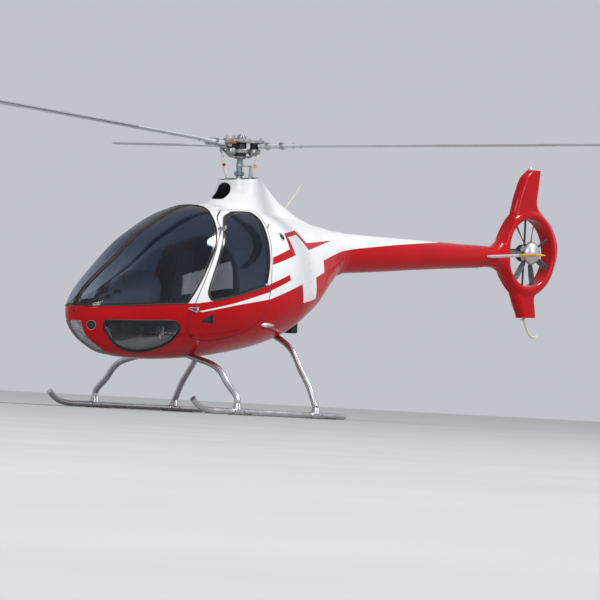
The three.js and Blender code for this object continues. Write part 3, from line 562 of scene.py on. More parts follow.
# The landing gear's two bowed tubes pass through the belly, so the shell has a snug hole for each.
SKID_Y = 0.808
SKID_Z = 0.028
SKID_RADIUS = 0.025
TUBE_RADIUS = 0.026
FOOT_TOP = SKID_Z + SKID_RADIUS + 0.042
CROSS_TUBES = {  # name: place aft of the mast, bowed leg as (out, up) points, height at the middle
    "front": (-0.768, [(0.794, 0.150), (0.687, 0.250), (0.600, 0.350), (0.500, 0.405), (0.293, 0.457),
                       (0.150, 0.492)], 0.500),
    "rear": (0.213, [(0.784, 0.130), (0.722, 0.255), (0.616, 0.400), (0.500, 0.566), (0.329, 0.668),
                     (0.160, 0.712)], 0.722)}


def tube_line(x, leg, crown, spacing=0.012):
    side = [(SKID_Y - 0.004, FOOT_TOP + 0.0003), *leg]
    bend = [(-y, z) for y, z in side] + [(0.0, crown)] + [(y, z) for y, z in reversed(side)]
    return [(x, y, z) for y, z in flowing_outline(bend, spacing, closed=False)]


def swept(name, path, radius, sides=28):
    """A round tube along a path of points, with flat ends."""
    path = [Vector(p) for p in path]
    rings = []
    side = None
    for i, place in enumerate(path):
        ahead = (path[min(i + 1, len(path) - 1)] - path[max(i - 1, 0)]).normalized()
        side = (ahead.orthogonal() if side is None else side - ahead * side.dot(ahead)).normalized()
        other = ahead.cross(side)
        size = radius[i] if hasattr(radius, "__len__") else radius
        rings.append([place + (side * math.cos(a) + other * math.sin(a)) * size
                      for a in np.arange(sides) / sides * math.tau])
    return skinned(name, rings)


tube_cuts = [swept("tube_cut", tube_line(*spec), TUBE_RADIUS + 0.0008) for spec in CROSS_TUBES.values()]
cut(cabin_skin, [*door_cuts, *chin_cuts, screen_cut, lamp_cut, *vent_cuts, mast_cut, *tube_cuts])
cut(cabin_skin, [screen_post], "UNION")

# Livery: one gloss paint scheme sprayed over cabin, doors, cowling, fairing and boom alike. Red
# below and white above, with a white stripe along the door that opens into a broad plain cross.
# Corners are (metres aft of the mast, height), and both sides carry the same.
RED = (0.52, 0.0015, 0.006)
RED_DEEP = (0.43, 0.001, 0.004)
WHITE = (0.82, 0.83, 0.84)
WHITE_DULL = (0.77, 0.785, 0.80)
PAINT_EDGE = 0.0012
RED_TOP_FRONT = [(-1.96, 0.811), (-1.594, 0.846), (-1.361, 0.869), (-1.130, 0.888), (-1.021, 0.896),
                 (-0.887, 0.920), (-0.600, 0.986), (-0.420, 1.035), (-0.2555, 1.090)]
RED_TOP_REAR = [(-0.2550, 0.970), (0.193, 1.117), (0.450, 1.186), (0.6395, 1.240), (0.6400, 1.338),
                (0.949, 1.408), (1.100, 1.440), (1.267, 1.462), (1.465, 1.488), (1.743, 1.521),
                (2.025, 1.553), (2.303, 1.580), (2.591, 1.605), (2.900, 1.640), (3.200, 1.70)]
WHITE_FIELDS = [
    [(-1.010, 0.8285), (-0.975, 0.826), (-0.659, 0.898), (-0.264, 0.968), (-0.240, 0.972), (-0.240, 1.034),
     (-0.265, 1.027), (-0.661, 0.917), (-0.996, 0.8335)],
    [(0.193, 1.130), (0.227, 0.962), (0.472, 1.007), (0.450, 1.200)],
]
RED_FIELDS = [
    [(-0.212, 1.256), (-0.195, 1.320), (0.070, 1.403), (0.138, 1.356)],
    [(0.070, 1.403), (0.078, 1.533), (0.115, 1.505), (0.138, 1.356)],
    [(0.078, 1.533), (0.291, 1.573), (0.265, 1.535), (0.115, 1.505)],
    [(0.291, 1.573), (0.388, 1.472), (0.388, 1.413), (0.265, 1.535)],
    [(0.388, 1.472), (0.963, 1.526), (0.388, 1.413)],
    [(-0.262, 1.094), (0.006, 1.188), (0.021, 1.142), (-0.262, 1.036)],
]


class Side:
    """The paint's own coordinates: metres aft of the mast, and height."""

    def __init__(self, at):
        self.x = at.node("ShaderNodeSeparateXYZ", None, {0: at}, out=0) - MAST_X
        self.z = at.node("ShaderNodeSeparateXYZ", None, {0: at}, out=2)

    def below(self, bends):
        """1 under a line of (x, z) points, with a crisp edge."""
        low, high = bends[0][0], bends[-1][0]
        run = self.x.node("ShaderNodeMapRange", None, {"Value": self.x, "From Min": low, "From Max": high})
        spots = [((x - low) / (high - low), (z - 0.5) / 1.5) for x, z in bends]
        height = run.node("ShaderNodeFloatCurve", {"bends": spots}, {"Factor": 1.0, "Value": run})
        return (height * 1.5 + 0.5 - self.z).step(-PAINT_EDGE, PAINT_EDGE)

    def within(self, corners):
        """1 inside an outline whose corners bulge outwards."""
        p = np.array(corners)
        if np.sum(p[:, 0] * np.roll(p[:, 1], -1) - np.roll(p[:, 0], -1) * p[:, 1]) < 0:
            p = p[::-1]
        inside = None
        for (ax, az), (bx, bz) in zip(p, np.roll(p, -1, axis=0)):
            size = math.hypot(bx - ax, bz - az)
            nx, nz = (az - bz) / size, (bx - ax) / size
            far = self.x * nx + self.z * nz + -(ax * nx + az * nz)
            inside = far if inside is None else inside.least(far)
        return inside.step(-PAINT_EDGE, PAINT_EDGE)


def red_share(at):
    side = Side(at)
    front = side.below(RED_TOP_FRONT)
    rear = side.below(RED_TOP_REAR)
    aft = side.x.step(-0.2551, -0.2549)
    red = front * (1 - aft) + rear * aft
    stripe = WHITE_FIELDS[0]
    halves = [[stripe[0], stripe[1], stripe[7], stripe[8]], [stripe[1], stripe[2], stripe[7]],
              [stripe[2], stripe[3], stripe[6], stripe[7]], [stripe[3], stripe[4], stripe[5], stripe[6]]]
    for field in [*halves, WHITE_FIELDS[1]]:
        red = red * (1 - side.within(field))
    for field in RED_FIELDS:
        red = red.most(side.within(field))
    return red


def gloss_paint(at, red):
    """White and red gloss with a faint unevenness, soft grime and a shallow ripple in the gloss."""
    worn = speckle(at, 1.7, 0.0, 1.0, 5.0)
    colour = worn.pick(RED, RED_DEEP)
    if red is not None:
        colour = red.pick(worn.pick(WHITE, WHITE_DULL), colour)
    return {"Base Color": colour, "Roughness": speckle(at, 2.3, 0.16, 0.24),
            "Bump": (speckle(at, 70.0, 0.0, 1.0, 1.0), 0.00008)}


# The recess in each door: cut into the panel, and its floor darkened to near black as painted shade.
DOOR_RECESS = [(-0.978, 0.748), (-0.876, 0.812), (-0.842, 0.732)]
POST_FIELD = [(-1.960, 0.815), (-1.150, 0.889), (-0.650, 1.660), (-0.580, 1.800), (-1.960, 1.800)]


def hull_recipe(at):
    """The livery, with the slim post between the screens painted black and the door recess in painted shade.
    """
    painted = gloss_paint(at, red_share(at))
    beside = at.node("ShaderNodeSeparateXYZ", None, {0: at}, out=1).sum("ABSOLUTE")
    post = beside.step(POST_HALF + 0.0022, POST_HALF + 0.0012) * Side(at).within(POST_FIELD)
    # Painted shade: the floor of the recess in each door is darkened to near black.
    shade = Side(at).within(DOOR_RECESS)
    painted["Base Color"] = post.pick(shade.pick(painted["Base Color"], (0.045, 0.003, 0.005)),
                                      (0.011, 0.011, 0.013))
    return painted


hull_paint = finish("paint_red_and_white", hull_recipe, coat_weight=0.2, coat_roughness=0.04,
                    specular_ior_level=0.12)
dressed(true_skin(cabin_skin), "airframe", "white_paint", hull_paint, "cabin_shell")

# Engine cowling: the rear half of the hull as one removable moulding behind the cabin joint, with
# a square hole below for the exhaust.
EXHAUST_X = (0.668, 0.752)
EXHAUST_Y = (-0.090, 0.020)
cowl_skin = cut(copied(whole_shell, "cowl_skin"), [cowl_half], "INTERSECT")
cut(cowl_skin, [block("exhaust_cut", EXHAUST_X, EXHAUST_Y, (0.6, 0.96))])
dressed(true_skin(cowl_skin), "airframe", "white_paint", hull_paint, "engine_cowling")

# Mast fairing: a tapering sleeve moulded in one piece that flares out into the roof, open at its
# sloping rim, with one air hole in its front that shows the control rods.
FAIRING_LEVELS = [  # z, front, rear, half
    (1.600, 0.400, 1.110, 0.262), (1.660, 0.375, 0.850, 0.256), (1.700, 0.352, 0.720, 0.246),
    (1.770, 0.302, 0.549, 0.226), (1.820, 0.254, 0.443, 0.210), (1.875, 0.207, 0.346, 0.198),
    (1.936, 0.188, 0.257, 0.188), (2.000, 0.182, 0.190, 0.182)]
FAIRING_WALL = 0.016
FAIRING_TOP = 2.000
RIM_SLOPE = 0.124
RIM_DROP = 0.015
FLARE_RISE = 0.055
FLARE_REACH = 0.060
FLARE_LIMIT = 0.254
FAIRING_HOLE = [  # (to starboard, height), seen from ahead
    (-0.062, 1.797), (0.0, 1.795), (0.062, 1.797), (0.076, 1.820), (0.078, 1.860), (0.070, 1.900),
    (0.048, 1.930), (0.0, 1.941), (-0.048, 1.930), (-0.070, 1.900), (-0.078, 1.860), (-0.076, 1.820)]
fairing_table = np.array(FAIRING_LEVELS)
fairing_front, fairing_rear, fairing_half = (
    flowing(fairing_table[:, 0], fairing_table[:, k]) for k in (1, 2, 3))


def fairing_place(turn, z, inset=0.0):
    """A point on the fairing's skin: how far round from dead astern, and how high."""
    c, s = math.cos(turn), math.sin(turn)
    x = (float(fairing_rear(z) if c > 0 else fairing_front(z)) - inset) * c
    y = (float(fairing_half(z)) - inset) * s
    return Vector((x, y, z + max(z - 1.8, 0) / 0.2 * (RIM_SLOPE * x - RIM_DROP)))


def fairing_column(turn, rows=26, bend=10):
    """One line down the fairing, from the rim to where its foot runs out on the roof."""
    low, high = 1.60, 1.85
    for _ in range(24):
        z = (low + high) / 2
        p = fairing_place(turn, z)
        low, high = (low, z) if p.z > float(hull_z(p.x, abs(p.y))) else (z, high)
    meet = fairing_place(turn, high)
    start = high + FLARE_RISE
    line = [fairing_place(turn, z) for z in np.linspace(FAIRING_TOP, start, rows)]
    out = Vector((math.cos(turn), math.sin(turn)))
    reach = FLARE_REACH
    if abs(meet.y + out.y * reach) > FLARE_LIMIT and -0.55 < meet.x < 0.30:
        reach = max((FLARE_LIMIT - abs(meet.y)) / max(abs(out.y), 0.2), 0.004)
    foot = Vector((meet.x + out.x * reach, meet.y + out.y * reach, 0))
    foot.z = float(hull_z(foot.x, abs(foot.y))) - 0.0004
    for t in np.linspace(0, 1, bend + 1)[1:]:
        line.append(line[rows - 1] * (1 - t) ** 2 + meet * (2 * t * (1 - t)) + foot * t**2)
    inner = [fairing_place(turn, z, FAIRING_WALL) for z in np.linspace(start, FAIRING_TOP, rows)]
    return line + [foot - Vector((0, 0, 0.004)), meet - Vector((0, 0, 0.010))] + inner


fairing_skin = skinned("fairing_skin", [fairing_column(u) for u in np.arange(112) / 112 * math.tau], 40,
                       closed=True)
hole_line = flowing_outline(FAIRING_HOLE, 0.005)
fairing_hole = skinned("fairing_hole", [[(x, y, z) for y, z in hole_line] for x in (-0.36, -0.06)])
cut(fairing_skin, [fairing_hole])
fairing_skin.data.set_sharp_from_angle(angle=math.radians(40))
dressed(fairing_skin, "airframe", "white_paint", hull_paint, "mast_fairing")

# Glazing: thin acrylic sheets, faintly smoked, blown to the hull's own curve and bonded into
# their cutouts. They let light through and shine like the real sheets, more at a glancing look.
# The windscreens and door windows are darkened much more, most towards the top, as painted shade.
GLASS_GAP = 0.0003
SHINE = 0.65


def glazing(name, low_tone, high_tone, heights):
    """Clear sheet of one tone at its foot and another at its top, under a shine that grows at a glance."""
    made = bpy.data.materials.new(name)
    made.use_nodes = True
    tree = made.node_tree
    tree.nodes.clear()
    at = Wire(tree, tree.nodes.new("ShaderNodeTexCoord").outputs["Object"])
    height = at.node("ShaderNodeSeparateXYZ", None, {0: at}, out=2)
    shade = height.node("ShaderNodeMapRange", None, {"Value": height, "From Min": heights[0],
                                                     "From Max": heights[1]})
    low = at.node("ShaderNodeBsdfTransparent", None, {"Color": tint(low_tone)})
    high = at.node("ShaderNodeBsdfTransparent", None, {"Color": tint(high_tone)})
    clear = at.node("ShaderNodeMixShader", None, {0: shade, 1: low, 2: high})
    shine = at.node("ShaderNodeBsdfGlossy", None, {"Color": (1, 1, 1, 1), "Roughness": 0.03})
    share = at.node("ShaderNodeFresnel", None, {"IOR": 1.42}) * SHINE + speckle(at, 3.0, 0.0, GLASS_DUST, 6.0)
    mixed = at.node("ShaderNodeMixShader", None, {0: share, 1: clear, 2: shine})
    output = tree.nodes.new("ShaderNodeOutputMaterial")
    tree.links.new(mixed.socket, output.inputs["Surface"])
    return made


GLASS_DUST = 0.004
# The windscreen's tint darkens from its foot to its top as painted shade.
screen_glass = glazing("acrylic_smoked_with_painted_shade", (0.74, 0.79, 0.84), (0.30, 0.37, 0.48), (0.95, 1.38))
# The door windows' dark tint, darker towards the top, is painted shade.
door_glass = glazing("acrylic_darkened_painted_shade", (0.42, 0.48, 0.56), (0.30, 0.36, 0.46), (0.95, 1.45))
chin_glass = glazing("acrylic_faintly_smoked", (0.80, 0.83, 0.85), (0.80, 0.83, 0.85), (0.5, 1.0))
lamp_glass = glazing("acrylic_clear", (0.97, 0.98, 0.98), (0.97, 0.98, 0.98), (0.5, 1.0))
glass_skin = cut(copied(glass_outer, "glass_skin"), [glass_inner])


border_black = finish("printed_black_border", mottled((0.008, 0.008, 0.009), (0.014, 0.014, 0.016),
                                                      (20.0, 3.0), (6.0, 0.10, 0.20)))


def pane(name, fill, inner, body, glass, *nodes, keep=()):
    """A sheet cut to its opening, in two parts: clear inside and a printed black border."""
    sheet = cut(copied(glass_skin, name), [fill, *keep], "INTERSECT")
    if inner is not None:
        border = cut(copied(sheet, name + "_border"), [inner])
        dressed(true_skin(border), body, "dark_trim", border_black)
        cut(sheet, [inner], "INTERSECT")
    return dressed(true_skin(sheet), body, "clear_glazing", glass, *nodes)


BORDER = 0.020
screen_fill = side_prism("screen_fill", grown(screen_line, -GLASS_GAP), -0.8, 0.8)
lamp_fill = side_prism("lamp_fill", grown(lamp_line, -GLASS_GAP), -LAMP_HALF + GLASS_GAP,
                       LAMP_HALF - GLASS_GAP)
pane("nose_lamp_glass", lamp_fill, None, "airframe", lamp_glass, "nose_lamp_cover")
for side, label in ((-1, "port"), (1, "starboard")):
    near, far = sorted((side * 0.8, side * (POST_HALF + GLASS_GAP)))
    half = block("half_keep", (-2.0, 0.0), (near, far), (0.3, 2.0))
    near, far = sorted((side * 0.8, side * (POST_HALF + 0.010)))
    clear = side_prism("clear_fill", grown(screen_line, -BORDER), near, far)
    pane(f"windscreen_pane_{label}", screen_fill, clear, "airframe", screen_glass, f"windscreen_{label}",
         keep=[half])
    near, far = sorted((side * 0.8, side * (0.09 + GLASS_GAP)))
    clear = side_prism("clear_fill", grown(chin_line, -0.012), near, far)
    pane(f"chin_pane_{label}", side_prism("chin_fill", grown(chin_line, -GLASS_GAP), near, far), clear,
         "airframe", chin_glass, f"chin_window_{label}")

# Window seals: round black rubber beads pressed along every cutout, half sunk in the joint.
bead_tree = bpy.data.node_groups.new("bead_along_a_line", "GeometryNodeTree")
for name, kind in (("Line", "NodeSocketGeometry"), ("Radius", "NodeSocketFloat"), ("Sides", "NodeSocketInt"),
                   ("Finish", "NodeSocketMaterial")):
    bead_tree.interface.new_socket(name, in_out="INPUT", socket_type=kind)
bead_tree.interface.new_socket("Bead", in_out="OUTPUT", socket_type="NodeSocketGeometry")


def joined(tree, kind, links, settings=None, values=None):
    """A geometry node with links from (node, output) pairs into named inputs."""
    node = tree.nodes.new(kind)
    for key, value in (settings or {}).items():
        setattr(node, key, value)
    for key, value in (values or {}).items():
        node.inputs[key].default_value = value
    for key, (source, out) in links.items():
        tree.links.new(source.outputs[out], node.inputs[key])
    return node


given = bead_tree.nodes.new("NodeGroupInput")
line = joined(bead_tree, "GeometryNodeMeshToCurve", {"Mesh": (given, "Line")})
round_profile = joined(bead_tree, "GeometryNodeCurvePrimitiveCircle",
                       {"Radius": (given, "Radius"), "Resolution": (given, "Sides")})
piped = joined(bead_tree, "GeometryNodeCurveToMesh", {"Curve": (line, 0),
                                                      "Profile Curve": (round_profile, 0)},
               values={"Fill Caps": True})
soft = joined(bead_tree, "GeometryNodeSetShadeSmooth", {0: (piped, 0)})
real = joined(bead_tree, "GeometryNodeRealizeInstances", {0: (soft, 0)})
coated = joined(bead_tree, "GeometryNodeSetMaterial", {"Geometry": (real, 0), "Material": (given, "Finish")})
joined(bead_tree, "NodeGroupOutput", {0: (coated, 0)})


def grown_by(tree, name, points, edges, inputs, attributes=None):
    """The plain mesh that a node tree makes from points and edges, with its inputs set by name."""
    mesh = bpy.data.meshes.new(name)
    mesh.from_pydata((np.asarray(points, float) + (MAST_X, 0, 0)).tolist(), edges, [])
    for key, values in (attributes or {}).items():
        flat = np.asarray(values, float)
        kind = "FLOAT_VECTOR" if flat.ndim == 2 else "FLOAT"
        layer = mesh.attributes.new(key, kind, "POINT")
        layer.data.foreach_set("vector" if flat.ndim == 2 else "value", flat.ravel())
    thing = bpy.data.objects.new(name, mesh)
    bpy.context.scene.collection.objects.link(thing)
    step = thing.modifiers.new("grow", "NODES")
    step.node_group = tree
    for item in tree.interface.items_tree:
        if item.in_out == "INPUT" and item.name in inputs:
            step[item.identifier] = inputs[item.name]
    return settled(thing)


def beads(name, lines, radius, material, body, slot, *nodes, sides=10, closed=True):
    points, edges = [], []
    for path in lines:
        first = len(points)
        points += [tuple(p) for p in path]
        edges += [(first + i, first + i + 1) for i in range(len(path) - 1)]
        if closed:
            edges.append((first + len(path) - 1, first))
    made = grown_by(bead_tree, name, points, edges, {"Radius": radius, "Sides": sides, "Finish": material})
    return dressed(made, body, slot, material, *nodes)


rubber = finish("rubber_seal", mottled((0.010, 0.010, 0.011), (0.022, 0.022, 0.024), (30.0, 3.0),
                                       (12.0, 0.42, 0.62), (400.0, 3.0, 0.0002)))


def skin_line(outline, side, inset=0.0, least_y=0.0, spacing=0.015):
    """A side outline laid on the hull's skin, closed along the roof at least_y from the centre."""
    y = hull_y(outline[:, 0], outline[:, 1], inset)
    keep = np.nonzero(y > max(least_y, 0.004))[0]
    breaks = np.nonzero(np.diff(keep) > 1)[0]
    order = np.concatenate([keep[breaks[0] + 1:], keep[:breaks[0] + 1]]) if len(breaks) else keep
    line = [(outline[i, 0], side * y[i], outline[i, 1]) for i in order]
    if len(keep) < len(outline):
        x0, x1 = line[-1][0], line[0][0]
        steps = max(int(abs(x1 - x0) / spacing), 2)
        roof_y = max(least_y, 0.004)
        for x in np.linspace(x0, x1, steps + 1)[1:-1]:
            line.append((x, side * roof_y, float(hull_z(x, roof_y, inset))))
    return line


SEAL_RADIUS = 0.0055
for side, label in ((-1, "port"), (1, "starboard")):
    beads(f"windscreen_seal_{label}", [skin_line(screen_edge, side, least_y=POST_HALF),
                                       skin_line(chin_line, side)],
          SEAL_RADIUS, rubber, "airframe", "dark_trim")

# Doors: one moulded panel each with a deep frame round its window, hung outside on two pins set
# along a slanted line at the front edge, and held by a latch at the rear.
door_inner = hull_body("door_inner", DOOR_WALL, 90, 120)
HINGE_LOW = Vector((-1.075, -0.590, 0.839))
HINGE_TOP = Vector((-0.690, -0.500, 1.529))
hinge_line = (HINGE_TOP - HINGE_LOW).normalized()
RECESS_DEPTH = 0.014
door_shape = side_prism("door_shape", door_line, -0.8, -DOOR_TOP_Y)
window_shape = side_prism("window_shape", window_line, -0.8, -WINDOW_TOP_Y)
window_fill = side_prism("window_fill", grown(window_line, -GLASS_GAP), -0.8, -WINDOW_TOP_Y - GLASS_GAP)
door_panel = cut(copied(hull_outer, "door_skin_port"), [door_inner])
cut(door_panel, [door_shape], "INTERSECT")
cut(door_panel, [window_shape])
recess = side_prism("recess", np.array(DOOR_RECESS), -0.8, -0.3)
cut(recess, [hull_body("recess_floor", RECESS_DEPTH, 60, 90)])
cut(door_panel, [recess])
door_skins = []
door_sheet = cut(copied(glass_skin, "door_pane_port"), [window_fill], "INTERSECT")
window_clear = side_prism("window_clear", grown(window_line, -BORDER), -0.8, -WINDOW_TOP_Y - BORDER)
door_border = cut(copied(door_sheet, "door_pane_border_port"), [window_clear])
door_pane = cut(door_sheet, [window_clear], "INTERSECT")
for side, label in ((-1, "port"), (1, "starboard")):
    body = f"door_{label}"
    panel = door_panel if side < 0 else flipped(door_panel, "door_skin_starboard")
    dressed(true_skin(panel), body, "white_paint", hull_paint, f"door_panel_{label}")
    door_skins.append(panel)
    sheet = door_pane if side < 0 else flipped(door_pane, "door_pane_starboard")
    dressed(true_skin(sheet), body, "clear_glazing", door_glass, f"door_window_{label}")
    border = door_border if side < 0 else flipped(door_border, "door_pane_border_starboard")
    dressed(true_skin(border), body, "dark_trim", border_black)
    beads(f"door_window_seal_{label}", [skin_line(window_line, side, least_y=WINDOW_TOP_Y)], SEAL_RADIUS,
          rubber, body, "dark_trim")

# Hinges: steel eyes on the door turn on pins held in small brackets on the shell.
HINGES = [  # place on the line, door end, shell end
    (HINGE_LOW, (-1.030, -0.535, 0.852), (-1.112, -0.505, 0.852)),
    (HINGE_TOP, (-0.660, -0.432, 1.533), (-0.704, -0.415, 1.524))]
PIN_RADIUS = 0.005
PIN_REACH = 0.026
EYE_RADIUS = 0.012
EYE_HALF = 0.009


steel = finish("satin_steel", mottled((0.42, 0.43, 0.45), (0.58, 0.59, 0.60), (260.0, 2.0),
                                      (90.0, 0.26, 0.42), (260.0, 2.0, 0.00005)), metallic=1.0)


def rod(name, a, b, radius, sides=16, flare=0.0):
    """A round rod from a to b whose ends are rounded over, or flare out."""
    a, b = Vector(a), Vector(b)
    axis = (b - a).normalized()
    side = axis.orthogonal().normalized()
    other = axis.cross(side)
    lip = min(radius * 0.3, (b - a).length * 0.2)
    stations = [(0, radius - lip), (lip, radius), ((b - a).length - lip, radius),
                ((b - a).length, radius - lip)]
    rings = []
    for i, (t, r) in enumerate(stations):
        r = r + (flare if i < 2 else 0.0)
        rings.append([a + axis * t + (side * math.cos(u) + other * math.sin(u)) * r
                      for u in np.arange(sides) / sides * math.tau])
    return skinned(name, rings)


def fused(name, parts):
    """Several meshes as one object; the parts are used up."""
    work = bmesh.new()
    for part in parts:
        work.from_mesh(part.data)
    mesh = bpy.data.meshes.new(name)
    work.to_mesh(mesh)
    work.free()
    mesh.shade_smooth()
    mesh.set_sharp_from_angle(angle=math.radians(32))
    drop(*parts)
    made = bpy.data.objects.new(name, mesh)
    bpy.context.scene.collection.objects.link(made)
    return made


def along_hinge(place, t):
    return place + hinge_line * t


for side, label in ((-1, "port"), (1, "starboard")):
    eyes, brackets = [], []
    for place, door_end, shell_end in HINGES:
        eyes.append(rod("eye", along_hinge(place, -EYE_HALF), along_hinge(place, EYE_HALF), EYE_RADIUS, 24))
        eyes.append(rod("arm", place, door_end, 0.007))
        brackets.append(rod("pin", along_hinge(place, -PIN_REACH), along_hinge(place, PIN_REACH), PIN_RADIUS))
        for reach in (-0.020, 0.020):
            brackets.append(rod("leg", along_hinge(place, reach), shell_end, 0.006))
        brackets.append(rod("foot", shell_end, Vector(shell_end) + (Vector(shell_end) - place) * 0.1, 0.012))
    for name, parts, body in ((f"hinge_eyes_{label}", eyes, f"door_{label}"),
                              (f"hinge_brackets_{label}", brackets, "airframe")):
        made = fused(name, parts)
        if side > 0:
            made.data.transform(Matrix.Scale(-1, 4, (0, 1, 0)))
            made.data.flip_normals()
        dressed(made, body, "steel_grey", steel)

# Landing gear: two bowed tubes of satin aluminium carry the skids, which turn up at the front. A
# clamp on each skid takes the end of each tube, and steel shoes below take the wear.
alloy = finish("satin_alloy", mottled((0.50, 0.51, 0.53), (0.62, 0.63, 0.65), (6.0, 5.0), (14.0, 0.24, 0.40),
                                      (180.0, 2.0, 0.00006)), metallic=1.0)


worn_steel = finish("worn_steel", mottled((0.16, 0.16, 0.17), (0.36, 0.35, 0.34), (40.0, 6.0),
                                          (25.0, 0.40, 0.65), (40.0, 6.0, 0.0004)), metallic=0.9)

screw_tree = bpy.data.node_groups.new("screws_on_points", "GeometryNodeTree")
for name, kind in (("Points", "NodeSocketGeometry"), ("Radius", "NodeSocketFloat"),
                   ("Height", "NodeSocketFloat"), ("Finish", "NodeSocketMaterial")):
    screw_tree.interface.new_socket(name, in_out="INPUT", socket_type=kind)
screw_tree.interface.new_socket("Screws", in_out="OUTPUT", socket_type="NodeSocketGeometry")
given = screw_tree.nodes.new("NodeGroupInput")
head = joined(screw_tree, "GeometryNodeMeshCone", {"Radius Bottom": (given, "Radius"),
                                                   "Depth": (given, "Height")},
              values={"Vertices": 10, "Radius Top": 0.0})
crown = joined(screw_tree, "ShaderNodeMath", {0: (given, "Radius")}, {"operation": "MULTIPLY"}, {1: 0.7})
screw_tree.links.new(crown.outputs[0], head.inputs["Radius Top"])
facing = joined(screw_tree, "GeometryNodeInputNamedAttribute", {}, {"data_type": "FLOAT_VECTOR"},
                {"Name": "facing"})
aimed = joined(screw_tree, "FunctionNodeAlignRotationToVector", {"Vector": (facing, 0)}, {"axis": "Z"})
spread = joined(screw_tree, "GeometryNodeInstanceOnPoints",
                {"Points": (given, "Points"), "Instance": (head, 0), "Rotation": (aimed, 0)})
real = joined(screw_tree, "GeometryNodeRealizeInstances", {0: (spread, 0)})
coated = joined(screw_tree, "GeometryNodeSetMaterial", {"Geometry": (real, 0), "Material": (given, "Finish")})
joined(screw_tree, "NodeGroupOutput", {0: (coated, 0)})


def screws(name, places, radius, height, material, body, slot, *nodes):
    """Screw heads at (place, facing) pairs, half sunk so they sit on the skin."""
    made = grown_by(screw_tree, name, [p for p, _ in places], [],
                    {"Radius": radius, "Height": height, "Finish": material},
                    {"facing": [tuple(f) for _, f in places]})
    return dressed(made, body, slot, material, *nodes)


def lathe(name, profile, centre, axis=(0, 0, 1), sides=48, smooth=32):
    """A turned shape: (radius, distance along the axis) points about a centre, closed at both ends."""
    along = Vector(axis).normalized()
    side = along.orthogonal().normalized()
    other = along.cross(side)
    rings = [[Vector(centre) + along * t + (side * math.cos(a) + other * math.sin(a)) * max(r, 0.0004)
              for a in np.arange(sides) / sides * math.tau] for r, t in profile]
    return skinned(name, rings, smooth)


SKID_RUN = [(-1.311, 0.118), (-1.262, 0.078), (-1.190, 0.044), (-1.090, SKID_Z + 0.001), (-0.950, SKID_Z),
            (-0.500, SKID_Z), (0.000, SKID_Z), (0.580, SKID_Z)]
SHOES = [(-0.860, -0.600), (0.090, 0.460)]
for name, (x, leg, crown_z) in CROSS_TUBES.items():
    bowed = swept(f"bowed_tube_{name}", tube_line(x, leg, crown_z), TUBE_RADIUS)
    dressed(bowed, "airframe", "alloy", alloy, f"cross_tube_{name}")
for side, label in ((-1, "port"), (1, "starboard")):
    y = side * SKID_Y
    run = [(x, y, z) for x, z in flowing_outline(SKID_RUN, 0.012, closed=False)]
    parts = [swept("run", run, [SKID_RADIUS] * (len(run) - 1) + [SKID_RADIUS * 0.86])]
    bolts = []
    for x, _, _ in CROSS_TUBES.values():
        parts.append(lathe("sleeve", [(0.0250, -0.074), (0.0268, -0.070), (0.0276, -0.062), (0.0276, 0.062),
                                      (0.0268, 0.070), (0.0250, 0.074)], (x, y, SKID_Z), (1, 0, 0)))
        parts.append(lathe("socket", [(0.040, 0.016), (0.038, 0.030), (0.036, 0.050), (0.033, 0.066),
                                      (0.029, 0.067)], (x, y - side * 0.004, SKID_Z), (0, 0, 1)))
        for reach in (-0.052, 0.052):
            for out in (-1, 1):
                facing_out = (0, out, 0)
                bolts.append(((x + reach, y + out * 0.0272, SKID_Z + 0.004), facing_out))
        bolts.append(((x - 0.036, y - side * 0.004, SKID_Z + 0.046), (-1, 0, 0)))
        bolts.append(((x + 0.036, y - side * 0.004, SKID_Z + 0.046), (1, 0, 0)))
    dressed(fused(f"skid_run_{label}", parts), "airframe", "alloy", alloy, f"skid_{label}")
    shoes = []
    for x0, x1 in SHOES:
        corners = [(-0.017, 0.0), (0.017, 0.0), (0.0215, 0.006), (0.023, 0.020), (0.017, 0.0275),
                   (-0.017, 0.0275), (-0.023, 0.020), (-0.0215, 0.006)]
        shoes.append(skinned("shoe", [[(x, y + a * k, b) for a, b in corners]
                                      for x, k in ((x0, 0.6), (x0 + 0.012, 1), (x1 - 0.012, 1), (x1, 0.6))]))
        for x in np.linspace(x0 + 0.03, x1 - 0.03, 4):
            bolts.append(((x, y - 0.0226, 0.018), (0, -1, 0.12)))
            bolts.append(((x, y + 0.0226, 0.018), (0, 1, 0.12)))
    dressed(fused(f"skid_shoes_{label}", shoes), "airframe", "steel_grey", worn_steel)
    screws(f"skid_bolts_{label}", bolts, 0.0055, 0.005, worn_steel, "airframe", "steel_grey")

# Tail boom: a slender tapering tube in one piece, painted through, that slides into the rear of
# the hull and swells into the fin at its end.
BOOM_STATIONS = [  # x, low, top, half
    (1.2903, 1.256, 1.611, 0.148), (1.750, 1.293, 1.611, 0.135), (2.300, 1.342, 1.614, 0.120),
    (3.000, 1.400, 1.617, 0.098), (3.470, 1.434, 1.627, 0.084)]
BOOM_CUT = 3.250
boom_table = np.array(BOOM_STATIONS)
boom_low, boom_top, boom_half = (flowing(boom_table[:, 0], boom_table[:, k]) for k in (1, 2, 3))


def boom_ring(x, sides=72):
    a = np.arange(sides) / sides * math.tau
    low, top = float(boom_low(x)), float(boom_top(x))
    return np.stack([np.full(sides, x), float(boom_half(x)) * np.cos(a),
                     (low + top) / 2 + (top - low) / 2 * np.sin(a)], axis=1)


boom_skin = skinned("boom_skin", [boom_ring(x) for x in np.linspace(1.2903, BOOM_CUT, 60)])
dressed(boom_skin, "airframe", "red_paint", hull_paint, "tail_boom")

